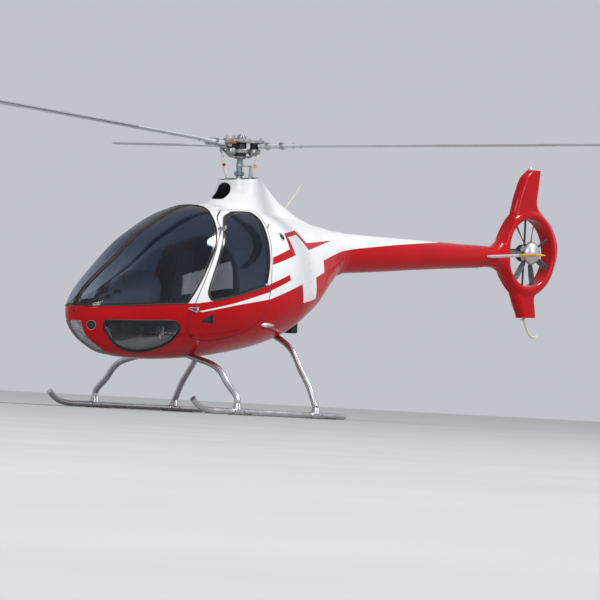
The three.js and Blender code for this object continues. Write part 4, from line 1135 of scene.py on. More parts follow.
# Fin and duct: one moulding, blended out of the boom, with a round bore for the fan between two
# rounded lips, an upper fin and a short lower fin. It is painted red all over.
FIN_SIDE = [(3.345, 1.570), (3.445, 1.628), (3.565, 1.720), (3.675, 1.890), (3.740, 2.094), (3.807, 2.253),
            (3.849, 2.302), (3.900, 2.338), (3.935, 2.368), (3.975, 2.430), (4.066, 2.430), (4.056, 2.210),
            (4.043, 2.035), (4.155, 1.943), (4.261, 1.869), (4.354, 1.729), (4.374, 1.620), (4.350, 1.500),
            (4.278, 1.386), (4.178, 1.289), (4.077, 1.219), (4.064, 1.182), (4.081, 1.101), (4.099, 1.011),
            (4.118, 0.910), (3.840, 0.910), (3.866, 0.998), (3.804, 1.103), (3.742, 1.217), (3.681, 1.304),
            (3.577, 1.387), (3.445, 1.436), (3.345, 1.480)]
FIN_TRIM = [(3.2504, 2.346), (4.600, 2.346), (4.600, 1.039), (3.2504, 0.964)]  # level top, cut foot
FIN_HALF = 0.052
FIN_ROUND = 0.050
FAN_PLACE = (3.928, 0.0, 1.591)
DUCT_BORE = 0.308
DUCT_LIP = [(-0.010, 0.046), (0.006, 0.064), (0.026, 0.075), (0.052, 0.072), (0.080, 0.052), (0.098, 0.028)]
FIN_FLARE = [  # x, low, top, half: the boom's end spreads into the fin like a fish's tail
    (3.200, 1.4155, 1.6205, 0.0915), (3.400, 1.431, 1.622, 0.086), (3.470, 1.428, 1.646, 0.084),
    (3.530, 1.408, 1.692, 0.081), (3.590, 1.374, 1.756, 0.077), (3.650, 1.328, 1.846, 0.070),
    (3.700, 1.272, 1.960, 0.058)]
flare_table = np.array(FIN_FLARE)
flare_low, flare_top, flare_half = (flowing(flare_table[:, 0], flare_table[:, k]) for k in (1, 2, 3))
fin_line = flowing_outline(FIN_SIDE, 0.02)
fin_rings = []
for y_side in (-1, 1):
    levels = [(0.0, 0.006), (0.002, 0.012), (0.006, 0.022), (0.013, 0.032), (0.022, 0.041), (0.034, 0.048),
              (FIN_ROUND, FIN_HALF)]
    rings = [[(x, y_side * y, z) for x, z in grown(fin_line, -inset)] for inset, y in levels]
    fin_rings += list(reversed(rings)) if y_side < 0 else rings
fin_body = skinned("fin_body", fin_rings)
lip = [(DUCT_BORE + r, -y) for r, y in DUCT_LIP] + [(DUCT_BORE + r, y) for r, y in reversed(DUCT_LIP)]
a = np.arange(96) / 96 * math.tau
duct_ring = skinned("duct_ring", [[(FAN_PLACE[0] + r * math.cos(u), y, FAN_PLACE[2] + r * math.sin(u))
                                   for r, y in lip] for u in a], closed=True)
boom_end = skinned("boom_end", [[(x, float(flare_half(x)) * math.cos(u),
                                  float(flare_low(x) + flare_top(x)) / 2 + float(flare_top(x) - flare_low(x))
                                  / 2 * math.sin(u)) for u in np.arange(72) / 72 * math.tau]
                                for x in np.linspace(3.20, 3.70, 26)])
cut(duct_ring, [side_prism("fin_outline", grown(fin_line, 0.001), -0.2, 0.2)], "INTERSECT")
duct_bore = turned_rod("duct_bore", FAN_PLACE, (0, 1, 0), DUCT_BORE, 0.5, 96)
cut(fin_body, [duct_ring, boom_end], "UNION")


def melted(thing, voxel, rounds, amount=0.5):
    """Rounds off every inner corner of a solid, as a filleted moulding has."""
    remesh = thing.modifiers.new("melt", "REMESH")
    remesh.mode = "VOXEL"
    remesh.voxel_size = voxel
    soft = thing.modifiers.new("soften", "SMOOTH")
    soft.factor = amount
    soft.iterations = rounds
    settled(thing)
    thing.data.shade_smooth()
    return thing


melted(fin_body, 0.0075, 14)
cut(fin_body, [duct_bore])
cut(fin_body, [side_prism("fin_keep", np.array(FIN_TRIM), -0.3, 0.3)], "INTERSECT")
fin_body.data.set_sharp_from_angle(angle=math.radians(40))
red_paint = finish("paint_red", lambda at: gloss_paint(at, None), coat_weight=0.2, coat_roughness=0.04,
                   specular_ior_level=0.12)
dressed(fin_body, "airframe", "red_paint", red_paint, "fin_and_duct")

# Stabilisers: a thin wing each side of the boom's end, built as one moulding with a rounded tip,
# white next to the boom and yellow outboard.
YELLOW = (0.85, 0.48, 0.015)
STAB_ROOT = (3.268, 3.450)
STAB_TIP = (3.300, 3.450)
STAB_REACH = 0.632
STAB_HEIGHT = 1.520
STAB_RISE = 0.05
STAB_HALF_THICK = 0.0125
YELLOW_FROM = 0.430
WING_SECTION = [(0.0, 0.0), (0.012, 0.36), (0.05, 0.70), (0.14, 0.95), (0.30, 1.0), (0.50, 0.90),
                (0.70, 0.64), (0.88, 0.30), (1.0, 0.05)]


def wing_ring(front, rear, half_thick):
    """A rounded wing section as (along, up) points, from its top rear edge round to its lower one."""
    upper = [(front + (rear - front) * t, half_thick * h) for t, h in WING_SECTION]
    return upper[::-1] + [(x, -z) for x, z in upper[1:]]


def stabiliser_recipe(at):
    out = at.node("ShaderNodeSeparateXYZ", None, {0: at}, out=1).sum("ABSOLUTE").step(YELLOW_FROM - 0.001,
                                                                                      YELLOW_FROM)
    worn = speckle(at, 4.0, 0.0, 1.0, 5.0)
    yellow = worn.pick(YELLOW, (0.80, 0.43, 0.015))
    return {"Base Color": out.pick(worn.pick(WHITE, WHITE_DULL), yellow),
            "Roughness": speckle(at, 5.0, 0.18, 0.28), "Bump": (speckle(at, 70.0, 0.0, 1.0, 1.0), 0.00008)}


stabiliser_paint = finish("paint_white_and_yellow", stabiliser_recipe, coat_weight=0.5, coat_roughness=0.05)
for side, label in ((-1, "port"), (1, "starboard")):
    rings = []
    reaches = [0.020, 0.10, 0.25, 0.43, 0.56, 0.600, 0.618, 0.628, STAB_REACH]
    sizes = [1, 1, 1, 1, 1, 0.97, 0.88, 0.70, 0.35]
    for reach, size in zip(reaches, sizes):
        t = reach / STAB_REACH
        front = STAB_ROOT[0] + (STAB_TIP[0] - STAB_ROOT[0]) * t
        rear = STAB_ROOT[1] + (STAB_TIP[1] - STAB_ROOT[1]) * t
        spare = (rear - front) * (1 - size) * 0.22
        section = wing_ring(front + spare, rear - spare * 0.8, STAB_HALF_THICK * size)
        rings.append([(x, side * reach, STAB_HEIGHT + STAB_RISE * reach + z) for x, z in section])
    dressed(skinned(f"stabiliser_skin_{label}", rings), "airframe", "yellow_paint", stabiliser_paint,
            f"stabiliser_{label}")

# Tail fan: a silver domed hub with seven twisted blades turns inside the duct. Behind it a dark
# gearbox is held by thin black struts and driven by a shaft in a flat housing from the front.
FAN_BLADES = 7
FAN_REACH = 0.297
FAN_FACE_Y = -0.066
BLADE_PLANE_Y = -0.042


fan_metal = finish("spun_aluminium", mottled((0.55, 0.56, 0.58), (0.66, 0.67, 0.69), (8.0, 5.0),
                                             (30.0, 0.34, 0.44), (120.0, 2.0, 0.00004)), metallic=1.0)


dark_blade = finish("dark_composite", mottled((0.045, 0.047, 0.052), (0.085, 0.088, 0.095), (25.0, 4.0),
                                              (40.0, 0.30, 0.45), (300.0, 3.0, 0.00005)), coat_weight=0.2)
spinner = lathe("spinner", [(0.0004, -0.0657), (0.022, -0.0650), (0.046, -0.0590), (0.068, -0.0495),
                            (0.086, -0.0370), (0.098, -0.0220), (0.1045, -0.0080), (0.1055, 0.0),
                            (0.1040, 0.0025), (0.090, 0.003), (0.0840, 0.008), (0.0835, 0.058),
                            (0.080, 0.062), (0.020, 0.0625), (0.0195, 0.096), (0.0004, 0.0975)],
                (FAN_PLACE[0], FAN_FACE_Y, FAN_PLACE[2]), (0, 1, 0), 72)
dressed(spinner, "tail_fan_rotor", "alloy", fan_metal, "tail_fan")
blades = []
for i in range(FAN_BLADES):
    turn = i * math.tau / FAN_BLADES + 0.2
    rings = []
    for reach, chord, twist, thick in ((0.078, 0.026, 0.95, 0.0080), (0.100, 0.030, 0.90, 0.0070),
                                       (0.125, 0.048, 0.82, 0.0055), (0.180, 0.056, 0.68, 0.0045),
                                       (0.240, 0.057, 0.56, 0.0038), (0.288, 0.056, 0.48, 0.0032),
                                       (FAN_REACH, 0.050, 0.46, 0.0020)):
        ring = []
        for u, v in wing_ring(-chord / 2, chord / 2, thick):
            across = u * math.cos(twist) - v * math.sin(twist)
            depth = u * math.sin(twist) + v * math.cos(twist)
            ring.append((FAN_PLACE[0] + reach * math.sin(turn) + across * math.cos(turn),
                         BLADE_PLANE_Y + depth * 0.86,
                         FAN_PLACE[2] + reach * math.cos(turn) - across * math.sin(turn)))
        rings.append(ring)
    blades.append(skinned("fan_blade", rings))
    foot = (FAN_PLACE[0] + 0.079 * math.sin(turn), BLADE_PLANE_Y, FAN_PLACE[2] + 0.079 * math.cos(turn))
    end = (FAN_PLACE[0] + 0.112 * math.sin(turn), BLADE_PLANE_Y, FAN_PLACE[2] + 0.112 * math.cos(turn))
    blades.append(rod("blade_foot", foot, end, 0.0125, 16))
dressed(fused("fan_blades", blades), "tail_fan_rotor", "alloy", dark_blade)

gearbox_parts = [lathe("gearbox", [(0.0206, 0.006), (0.055, 0.006), (0.066, 0.009), (0.070, 0.016),
                                   (0.070, 0.034), (0.076, 0.036), (0.0775, 0.040), (0.0775, 0.050),
                                   (0.076, 0.054), (0.070, 0.056), (0.064, 0.074), (0.050, 0.084),
                                   (0.030, 0.090), (0.0004, 0.0915)], FAN_PLACE, (0, 1, 0), 64)]
for turn, chord in ((0.0, 0.012), (math.pi, 0.012), (-math.pi / 2, 0.030)):
    out = Vector((math.sin(turn), 0, math.cos(turn)))
    across = Vector((math.cos(turn), 0, -math.sin(turn)))
    rings = []
    for reach, grow in ((0.060, 1.25), (0.085, 1.05), (0.110, 1.0), (0.285, 1.0), (0.3065, 1.15)):
        middle = Vector(FAN_PLACE) + out * reach + Vector((0, 0.015, 0))
        rings.append([middle + across * (math.cos(u) * chord * grow) + Vector((0, math.sin(u) * 0.0078, 0))
                      for u in np.arange(24) / 24 * math.tau])
    gearbox_parts.append(skinned("strut", rings))


dark_cast = finish("dark_painted_casting", mottled((0.012, 0.012, 0.015), (0.030, 0.032, 0.040), (18.0, 4.0),
                                                   (50.0, 0.32, 0.52), (240.0, 3.0, 0.0002)))
dressed(fused("fan_gearbox_and_struts", gearbox_parts), "airframe", "dark_trim", dark_cast, "fan_gearbox")
fan_bolts = []
for i in range(10):
    u = i * math.tau / 10
    fan_bolts.append(((FAN_PLACE[0] + 0.071 * math.cos(u), 0.0545, FAN_PLACE[2] + 0.071 * math.sin(u)),
                      (0, 1, 0)))
screws("fan_gearbox_bolts", fan_bolts, 0.0045, 0.007, steel, "airframe", "steel_grey")

# Tail skid, a bent spring-steel rod painted cream, guards the lower fin. A clear anti-collision
# lamp with a silver base stands on top of the upper fin.
SKID_ROD = [(3.9485, 0.0, 0.997), (3.956, 0.0, 0.975), (3.990, 0.0, 0.930), (4.031, 0.0, 0.872),
            (4.062, 0.0, 0.845), (4.100, 0.0, 0.833), (4.135, 0.0, 0.836), (4.159, 0.0, 0.848)]


cream = finish("cream_enamel", mottled((0.72, 0.66, 0.55), (0.62, 0.57, 0.48), (30.0, 6.0), (40.0, 0.3, 0.5),
                                       (30.0, 6.0, 0.0001)))
skid_path = [(x, 0.0, z) for x, z in flowing_outline([(x, z) for x, _, z in SKID_ROD], 0.008, closed=False)]
skid_sizes = np.full(len(skid_path), 0.0105)
skid_sizes[-3:] = (0.0100, 0.0085, 0.0055)
skid_rod = fused("tail_skid_rod", [swept("bend", skid_path, skid_sizes, 18),
                                   lathe("collar", [(0.0106, -0.004), (0.019, -0.003), (0.019, 0.004),
                                                    (0.0115, 0.014)], (3.9485, 0.0, 0.993), (0.25, 0, -0.97),
                                         24)])
dressed(skid_rod, "airframe", "steel_grey", cream, "tail_skid")
strobe_base = lathe("strobe_base", [(0.0004, 0.0), (0.0218, 0.0), (0.0218, 0.010), (0.0195, 0.0125),
                                    (0.0175, 0.019), (0.0155, 0.021), (0.0004, 0.021)], (3.941, 0, 2.3455),
                    (0, 0, 1), 40)
dressed(strobe_base, "airframe", "alloy", fan_metal, "fin_strobe")


def frosted_recipe(at):
    ribs = at.node("ShaderNodeSeparateXYZ", None, {0: at}, out=2).sum("MULTIPLY", 1800.0).sum("SINE")
    return {"Base Color": speckle(at, 60.0, 0.0, 1.0).pick((0.80, 0.83, 0.85), (0.70, 0.73, 0.76)),
            "Roughness": speckle(at, 60.0, 0.08, 0.16), "Bump": (ribs, 0.0002)}


frosted = finish("ribbed_lens", frosted_recipe, metallic=0.35, coat_weight=0.8)
lens = lathe("strobe_lens", [(0.0168, 0.0), (0.0165, 0.006), (0.0140, 0.0105), (0.0090, 0.0133),
                             (0.0004, 0.0142)], (3.941, 0, 2.3655), (0, 0, 1), 32)
dressed(lens, "airframe", "lens", frosted)

# Rotor mast: a steel tube in a blue-grey finish that rises through a collar at the fairing's rim.
MAST_FOOT = 1.560
MAST_TOP = 2.285
MAST_RADIUS = 0.030


mast_steel = finish("phosphated_steel", mottled((0.24, 0.28, 0.34), (0.34, 0.38, 0.44), (90.0, 4.0),
                                                (50.0, 0.28, 0.42), (90.0, 4.0, 0.00005)), metallic=0.75)
mast_parts = [lathe("mast_tube", [(0.0296, 0.0), (MAST_RADIUS, 0.002), (MAST_RADIUS, 0.420), (0.0270, 0.430),
                                  (0.0258, 0.500), (0.0258, 0.600), (0.0298, 0.615),
                                  (0.0298, MAST_TOP - MAST_FOOT)], (0, 0, MAST_FOOT)),
              lathe("mast_collar", [(0.030, 2.0100), (0.0385, 2.0100), (0.0400, 2.0125), (0.0400, 2.0220),
                                    (0.0430, 2.0230), (0.0435, 2.0255), (0.0435, 2.0330), (0.0400, 2.0350),
                                    (0.0360, 2.0440), (0.0270, 2.0460)], (0, 0, 0))]
dressed(fused("mast_and_collar", mast_parts), "main_rotor", "steel_grey", mast_steel, "rotor_mast")
screws("collar_bolts", [((0.0405 * math.cos(u), 0.0405 * math.sin(u), 2.0350), (0, 0, 1))
                        for u in np.arange(6) / 6 * math.tau], 0.0042, 0.006, steel, "main_rotor",
       "steel_grey")

# Rotor head: a three-armed star plate in machined alloy above three elastomeric bearings, which a
# lower cup carries on bent V-shaped arms. Each arm has a damper beside it, and bolts stand on top.
ARM_TURNS = [math.pi + i * math.tau / 3 for i in range(3)]
BEARING_OUT = 0.118
LINK_TURN = -0.328
LINK_FOOT = (0.114, 1.970)
LINK_HEAD = (0.185, 2.212)
HORN_SHAPE = [  # out, up, half width, half depth: a flat arm that bends up to hold a link's head
    (0.040, 2.166, 0.012, 0.009), (0.080, 2.166, 0.012, 0.009), (0.104, 2.171, 0.011, 0.009),
    (0.126, 2.186, 0.010, 0.009), (0.150, 2.206, 0.009, 0.009), (0.172, 2.220, 0.009, 0.009),
    (0.192, 2.226, 0.009, 0.008)]


def star_outline(reach, waist, tip, root, steps=14):
    """A plate with three arms, as points seen from above."""
    out = []
    for turn in ARM_TURNS:
        along = Vector((math.cos(turn), math.sin(turn)))
        across = Vector((-math.sin(turn), math.cos(turn)))
        corner = [(root * 0.5, -root * 0.86), (root * 1.25, -waist), (reach * 0.62, -waist * 0.92),
                  (reach * 0.84, -tip)]
        arc = [(reach - tip + tip * math.sin(v), -tip * math.cos(v))
               for v in np.linspace(0.15, math.pi - 0.15, steps)]
        half = corner + arc + [(a, -b) for a, b in reversed(corner[1:])]
        out += [along * a + across * b for a, b in half]
    return out


def plate(name, outline, levels):
    """A flat plate with soft edges: (height, inset) pairs up its side."""
    points = np.array([tuple(p) for p in outline])
    return skinned(name, [[(x, y, z) for x, y in grown(points, -inset)] for z, inset in levels], 40)


head_parts = [plate("star_plate", star_outline(0.204, 0.032, 0.036, 0.085),
                    [(2.2865, 0.003), (2.2890, 0.0), (2.3090, 0.0), (2.3115, 0.003)]),
              lathe("top_cap", [(0.092, 2.300), (0.092, 2.3165), (0.088, 2.320), (0.060, 2.3215),
                                (0.052, 2.326), (0.036, 2.328), (0.0335, 2.334), (0.0335, 2.346),
                                (0.030, 2.352), (0.018, 2.356), (0.012, 2.3635), (0.0004, 2.364)], (0, 0, 0),
                    sides=60), lathe("core_foot", [(0.0306, 2.151), (0.040, 2.151), (0.048, 2.156),
                                                   (0.050, 2.172), (0.0306, 2.174)], (0, 0, 0)),
              lathe("lower_cup", [(0.044, 2.196), (0.078, 2.197), (0.083, 2.202), (0.0835, 2.228),
                                  (0.078, 2.2345), (0.044, 2.235)], (0, 0, 0), sides=60)]
core = [lathe("core", [(0.0306, 2.172), (0.047, 2.173), (0.051, 2.180), (0.051, 2.196), (0.046, 2.200),
                       (0.046, 2.238), (0.051, 2.244), (0.051, 2.276), (0.046, 2.288), (0.0306, 2.288)],
              (0, 0, 0))]
rubber_parts, knobs = [], []
for turn in ARM_TURNS:
    along = Vector((math.cos(turn), math.sin(turn), 0))
    across = Vector((-math.sin(turn), math.cos(turn), 0))
    seat = along * BEARING_OUT
    head_parts.append(lathe("bearing_cup", [(0.0004, 2.1805), (0.034, 2.1805), (0.042, 2.186),
                                            (0.0435, 2.196), (0.0435, 2.228), (0.040, 2.235),
                                            (0.0004, 2.2355)], seat, sides=40))
    layers = [(0.0004, 2.2350)]
    for k in range(8):
        z = 2.2355 + k * 0.0062
        layers += [(0.0385, z), (0.0385, z + 0.0022), (0.0345, z + 0.0030), (0.0345, z + 0.0054)]
    rubber_parts.append(lathe("bearing", layers + [(0.030, 2.2862), (0.0004, 2.2864)], seat, sides=32))
    out = Vector((math.cos(turn + LINK_TURN), math.sin(turn + LINK_TURN), 0))
    aside = Vector((-out.y, out.x, 0))
    rings = []
    for reach, up, wide, deep in HORN_SHAPE:
        middle = out * reach + Vector((0, 0, up))
        rings.append([middle + aside * (wide * math.copysign(abs(math.cos(v)) ** 0.6, math.cos(v)))
                      + Vector((0, 0, deep * math.copysign(abs(math.sin(v)) ** 0.6, math.sin(v))))
                      for v in np.arange(24) / 24 * math.tau])
    head_parts.append(skinned("horn", rings))
    knob = Vector((math.cos(turn + 1.047) * 0.062, math.sin(turn + 1.047) * 0.062, 2.3185))
    knobs.append(lathe("knob", [(0.0004, 0.0), (0.0150, 0.0), (0.0150, 0.010), (0.0110, 0.012),
                                (0.0110, 0.024), (0.0130, 0.026), (0.0110, 0.033), (0.0004, 0.0335)], knob,
                       sides=20))
    eye = along * 0.176 + Vector((0, 0, 2.3115))
    knobs.append(lathe("eye", [(0.0004, 0.0), (0.019, 0.0), (0.019, 0.006), (0.0125, 0.008), (0.0125, 0.020),
                               (0.009, 0.0235), (0.0004, 0.0245)], eye, sides=24))


machined = finish("machined_alloy", mottled((0.30, 0.31, 0.32), (0.44, 0.45, 0.45), (12.0, 5.0),
                                            (60.0, 0.32, 0.48), (200.0, 2.0, 0.00005)), metallic=1.0)
dressed(fused("rotor_head", head_parts), "main_rotor", "steel_grey", machined, "rotor_hub")
dressed(fused("rotor_head_bolts", knobs), "main_rotor", "steel_grey", steel)
dressed(fused("elastomeric_bearings", rubber_parts), "main_rotor", "steel_grey", rubber)
dressed(fused("head_core", core), "main_rotor", "steel_grey", dark_cast)

# Main rotor blades: composite aerofoils, painted pale grey, each in a tapering cuff that is held
# by two through-bolts, with a steel strip along the front edge and a small tab at the rear.
ROTOR_HEIGHT = 2.258
BLADE_HALF_THICK = 0.0104
CONE = 0.045
BLADE_STATIONS = [  # out from the mast, front, rear, half thickness
    (0.156, -0.043, 0.043, 0.021), (0.200, -0.046, 0.046, 0.0213), (0.300, -0.051, 0.053, 0.0197),
    (0.400, -0.060, 0.064, 0.0165), (0.500, -0.073, 0.077, 0.0130), (0.580, -0.084, 0.085, 0.0104),
    (0.640, -0.0890, 0.0890, BLADE_HALF_THICK), (3.500, -0.0890, 0.0890, BLADE_HALF_THICK),
    (3.570, -0.0885, 0.0870, 0.0095), (3.592, -0.080, 0.083, 0.0065), (3.600, -0.066, 0.078, 0.0020)]
TAB = (2.55, 2.85)
STRIP_FROM = 1.35


blade_grey = finish("blade_paint_grey", mottled((0.50, 0.54, 0.58), (0.60, 0.63, 0.65), (3.0, 6.0),
                                                (7.0, 0.28, 0.42), (60.0, 2.0, 0.0001)), coat_weight=0.15)


bronze = finish("bronze_fitting", mottled((0.42, 0.16, 0.07), (0.55, 0.24, 0.11), (40.0, 4.0),
                                          (60.0, 0.25, 0.40), (220.0, 3.0, 0.00008)), metallic=0.85)
yellow_paint = finish("paint_yellow", lambda at: {
    "Base Color": speckle(at, 20.0, 0.0, 1.0, 4.0).pick(YELLOW, (0.72, 0.40, 0.012)),
    "Roughness": speckle(at, 30.0, 0.2, 0.35), "Bump": (speckle(at, 120.0, 0.0, 1.0), 0.00008)})


def from_blade(turn, out, across, up):
    """A place on a blade, by its distance out along the coned blade, across it and above it."""
    run = out * math.cos(CONE) - up * math.sin(CONE)
    return Vector((math.cos(turn) * run - math.sin(turn) * across,
                   math.sin(turn) * run + math.cos(turn) * across,
                   ROTOR_HEIGHT + out * math.sin(CONE) + up * math.cos(CONE)))


for i, turn in enumerate(ARM_TURNS):
    rings = []
    for out, front, rear, half in BLADE_STATIONS:
        root = min(max((0.62 - out) / 0.40, 0), 1)
        ring = []
        for u, v in wing_ring(-1, 1, 1):
            boxed = math.copysign(abs(v) ** 0.35, v) if abs(v) > 1e-6 else 0.0
            across = (u + 1) / 2 * (rear - front) + front
            ring.append(from_blade(turn, out / math.cos(CONE), -across, half * (v + (boxed - v) * root)))
        rings.append(ring)
    parts = [skinned("blade", rings, 45)]
    tab = [[from_blade(turn, out, -a, u) for a, u in ((0.086, 0.0009), (0.112, 0.0005), (0.112, -0.0005),
                                                      (0.086, -0.0009))] for out in TAB]
    parts.append(skinned("tab", tab))
    dressed(fused(f"blade_skin_{i + 1}", parts), "main_rotor", "blade_paint", blade_grey,
            f"rotor_blade_{i + 1}")
    strip = []
    for out in (STRIP_FROM, 3.560):
        edge = [(u, v) for u, v in wing_ring(-0.0892, 0.0890, BLADE_HALF_THICK + 0.0002) if u < -0.062]
        inner = [(u + 0.0012, v * 0.90) for u, v in reversed(edge)]
        strip.append([from_blade(turn, out, -u, v) for u, v in edge + inner])
    dressed(skinned(f"edge_strip_{i + 1}", strip), "main_rotor", "steel_grey", steel)
    clamps, bolts = [], []
    for out, wide in ((0.222, 0.056), (0.345, 0.064)):
        band = [(wide, 0.026), (wide, -0.026), (-wide, -0.026), (-wide, 0.026)]
        line = flowing_outline([(a * k, b * m) for a, b, k, m in
                                [(wide, 0.026, 1, 0.3), (wide, 0.026, 0.96, 1), (-wide, 0.026, 0.96, 1),
                                 (-wide, 0.026, 1, 0.3), (-wide, -0.026, 1, 0.3), (-wide, -0.026, 0.96, 1),
                                 (wide, -0.026, 0.96, 1), (wide, -0.026, 1, 0.3)]], 0.006)
        clamps.append(skinned("clamp", [[from_blade(turn, o, a, b) for a, b in line]
                                        for o in (out, out + 0.022)]))
        for across in (-0.030, 0.030):
            bolts.append((from_blade(turn, out + 0.011, across, 0.0255), (0, 0, 1)))
            bolts.append((from_blade(turn, out + 0.011, across, -0.0262), (0, 0, -1)))
    for out in (0.455, 0.520):
        for up in (1, -1):
            bolts.append((from_blade(turn, out, 0.0, up * (0.0165 if out < 0.5 else 0.0135)), (0, 0, up)))
    dressed(fused(f"cuff_clamps_{i + 1}", clamps), "main_rotor", "steel_grey", machined)
    screws(f"cuff_bolts_{i + 1}", [(p, f) for p, f in bolts], 0.0075, 0.007, steel, "main_rotor",
           "steel_grey")
    damper = [rod("arm", from_blade(turn, 0.100, 0.058, 0.030), from_blade(turn, 0.205, 0.070, 0.012),
                  0.010), rod("body", from_blade(turn, 0.145, 0.066, 0.016),
                              from_blade(turn, 0.235, 0.072, 0.010), 0.0155, 20)]
    dressed(fused(f"damper_{i + 1}", damper), "main_rotor", "steel_grey", bronze if i != 2 else machined)
    tip = rod(f"damper_tip_{i + 1}", from_blade(turn, 0.235, 0.072, 0.010),
              from_blade(turn, 0.262, 0.074, 0.008), 0.0135)
    dressed(tip, "main_rotor", "steel_grey", yellow_paint if i == 2 else machined)

# Swashplate and pitch links: a turning ring low in the fairing drives three links up to the pitch
# horns. Each link is white, and two wear a coloured band. A folding scissor keeps the ring in step.
SWASH_LOW = 1.940
SWASH_TOP = 1.985
LINK_BANDS = ((0.45, 0.004, 0.008), YELLOW, None)
swash = lathe("swash_ring", [(0.0306, SWASH_LOW), (0.118, SWASH_LOW), (0.126, SWASH_LOW + 0.004),
                             (0.1275, SWASH_LOW + 0.012), (0.1275, SWASH_TOP - 0.020),
                             (0.122, SWASH_TOP - 0.016), (0.120, SWASH_TOP - 0.004), (0.112, SWASH_TOP),
                             (0.060, SWASH_TOP), (0.052, SWASH_TOP - 0.006), (0.0306, SWASH_TOP - 0.006)],
              (0, 0, 0), sides=72)


link_white = finish("link_white", mottled((0.76, 0.77, 0.76), (0.66, 0.67, 0.66), (30.0, 4.0),
                                          (40.0, 0.25, 0.40), (150.0, 3.0, 0.00008)), coat_weight=0.2)
link_parts, steel_parts = [], []
for i, turn in enumerate(ARM_TURNS):
    turn += LINK_TURN
    foot = Vector((math.cos(turn) * LINK_FOOT[0], math.sin(turn) * LINK_FOOT[0], LINK_FOOT[1]))
    head = Vector((math.cos(turn) * LINK_HEAD[0], math.sin(turn) * LINK_HEAD[0], LINK_HEAD[1]))
    axis = (head - foot).normalized()
    size = (head - foot).length
    link_parts.append(lathe("link", [(0.0075, size * 0.08), (0.0118, size * 0.13), (0.0130, size * 0.30),
                                     (0.0130, size * 0.72), (0.0115, size * 0.86), (0.0070, size * 0.91)],
                            foot, axis, 20))
    for end, way in ((foot, 1), (head, -1)):
        steel_parts.append(rod("stem", end, end + axis * (way * size * 0.14), 0.0062))
        out = Vector((math.cos(turn), math.sin(turn), 0))
        steel_parts.append(lathe("rod_end", [(0.006, -0.0075), (0.0135, -0.0065), (0.0150, 0.0),
                                             (0.0135, 0.0065), (0.006, 0.0075)], end, out, 24))
        steel_parts.append(rod("pin", end - out * 0.014, end + out * 0.014, 0.0055))
    if LINK_BANDS[i] is not None:
        band = lathe(f"link_band_{i + 1}", [(0.0128, size * 0.46), (0.0140, size * 0.465),
                                            (0.0140, size * 0.555), (0.0128, size * 0.56)], foot, axis, 24)
        tone = LINK_BANDS[i]
        dressed(band, "main_rotor", "alloy", finish(f"band_paint_{i + 1}", lambda at, tone=tone: {
            "Base Color": speckle(at, 50.0, 0.0, 1.0).pick(tone, tuple(c * 0.85 for c in tone)),
            "Roughness": speckle(at, 60.0, 0.25, 0.35), "Bump": (speckle(at, 200.0, 0.0, 1.0), 0.00005)}))
low = Vector((0.062, -0.062, 1.980))
knee = Vector((0.066, -0.066, 2.098))
high = Vector((0.0222, -0.0222, 2.098))
pin = Vector((0.0115, 0.0115, 0))
for side in (-1, 1):
    steel_parts.append(rod("scissor", knee + pin * (side * 0.75), high + pin * (side * 0.55), 0.0062))
steel_parts.append(rod("scissor_leg", low, knee, 0.0098, 20))
steel_parts.append(rod("knee_pin", knee - pin * 1.5, knee + pin * 1.5, 0.0085))
steel_parts.append(rod("scissor_foot", low - Vector((0, 0, 0.006)), low + Vector((0, 0, 0.014)), 0.014))
steel_parts.append(lathe("scissor_clamp", [(0.0262, -0.012), (0.0330, -0.011), (0.0330, 0.011),
                                           (0.0262, 0.012)], (0, 0, 2.098), (0, 0, 1), 40))
dressed(fused("pitch_links", link_parts), "main_rotor", "alloy", link_white, "swashplate_and_links")
dressed(fused("link_ends_and_scissor", steel_parts), "main_rotor", "steel_grey", steel)
dressed(swash, "main_rotor", "alloy", machined)

# Inner trim: a dark textured trim covers the inner faces of the shell, the doors and the fairing,
# so only the outer skin shows paint. Its near-black tone is partly painted shade, and inside the
# fairing it is all painted shade.
lining_and_painted_shade = finish("dark_lining_and_painted_shade", mottled((0.016, 0.020, 0.032), (0.028, 0.033, 0.048), (6.0, 5.0),
                                             (30.0, 0.62, 0.80), (260.0, 2.0, 0.00008)))


def face_values(data, kind):
    found = np.empty(len(data.polygons) * 3, np.float32)
    data.polygons.foreach_get(kind, found)
    return found.reshape(-1, 3)


def second_finish(thing, chosen, material):
    data = thing.data
    data.materials.append(material)
    index = np.empty(len(data.polygons), np.int32)
    data.polygons.foreach_get("material_index", index)
    index[chosen] = len(data.materials) - 1
    data.polygons.foreach_set("material_index", index)
    return thing


def lined(thing, inset, material):
    """Gives the faces that look inward, this far or more under the hull's skin, a second finish."""
    data = thing.data
    middle = face_values(data, "center")
    inner = np.abs(middle[:, 1]) < hull_y(middle[:, 0] - MAST_X, middle[:, 2], inset)
    return second_finish(thing, inner, material)


def lined_tube(thing, material):
    """The same for an upright sleeve: faces that look at its axis."""
    data = thing.data
    middle, facing = face_values(data, "center"), face_values(data, "normal")
    out = middle[:, :2] - (MAST_X, 0)
    inward = np.sum(out * facing[:, :2], axis=1) < -0.25 * np.linalg.norm(out, axis=1)
    return second_finish(thing, inward & (middle[:, 2] > 1.62), material)


lined(cabin_skin, 0.004, lining_and_painted_shade)
lined(cowl_skin, 0.004, lining_and_painted_shade)
for panel in door_skins:
    lined(panel, 0.004, lining_and_painted_shade)
# Inside the fairing this dark finish is painted shade.
lined_tube(fairing_skin, lining_and_painted_shade)

# Floor and bulkhead: flat composite panels behind and below the crew. The floor wears a ribbed
# rubber mat, and quilted dark trim with stitched seams covers the bulkhead.
FLOOR_TOP = 0.585
FLOOR_X = (-1.500, -0.310)
BULKHEAD_FRONT = [(-0.300, 0.430), (-0.275, 0.882), (-0.235, 1.107), (-0.205, 1.275), (-0.158, 1.447),
                  (-0.108, 1.603), (-0.045, 1.780)]
BULKHEAD_THICK = 0.018
SHELL_FIT = 0.0226


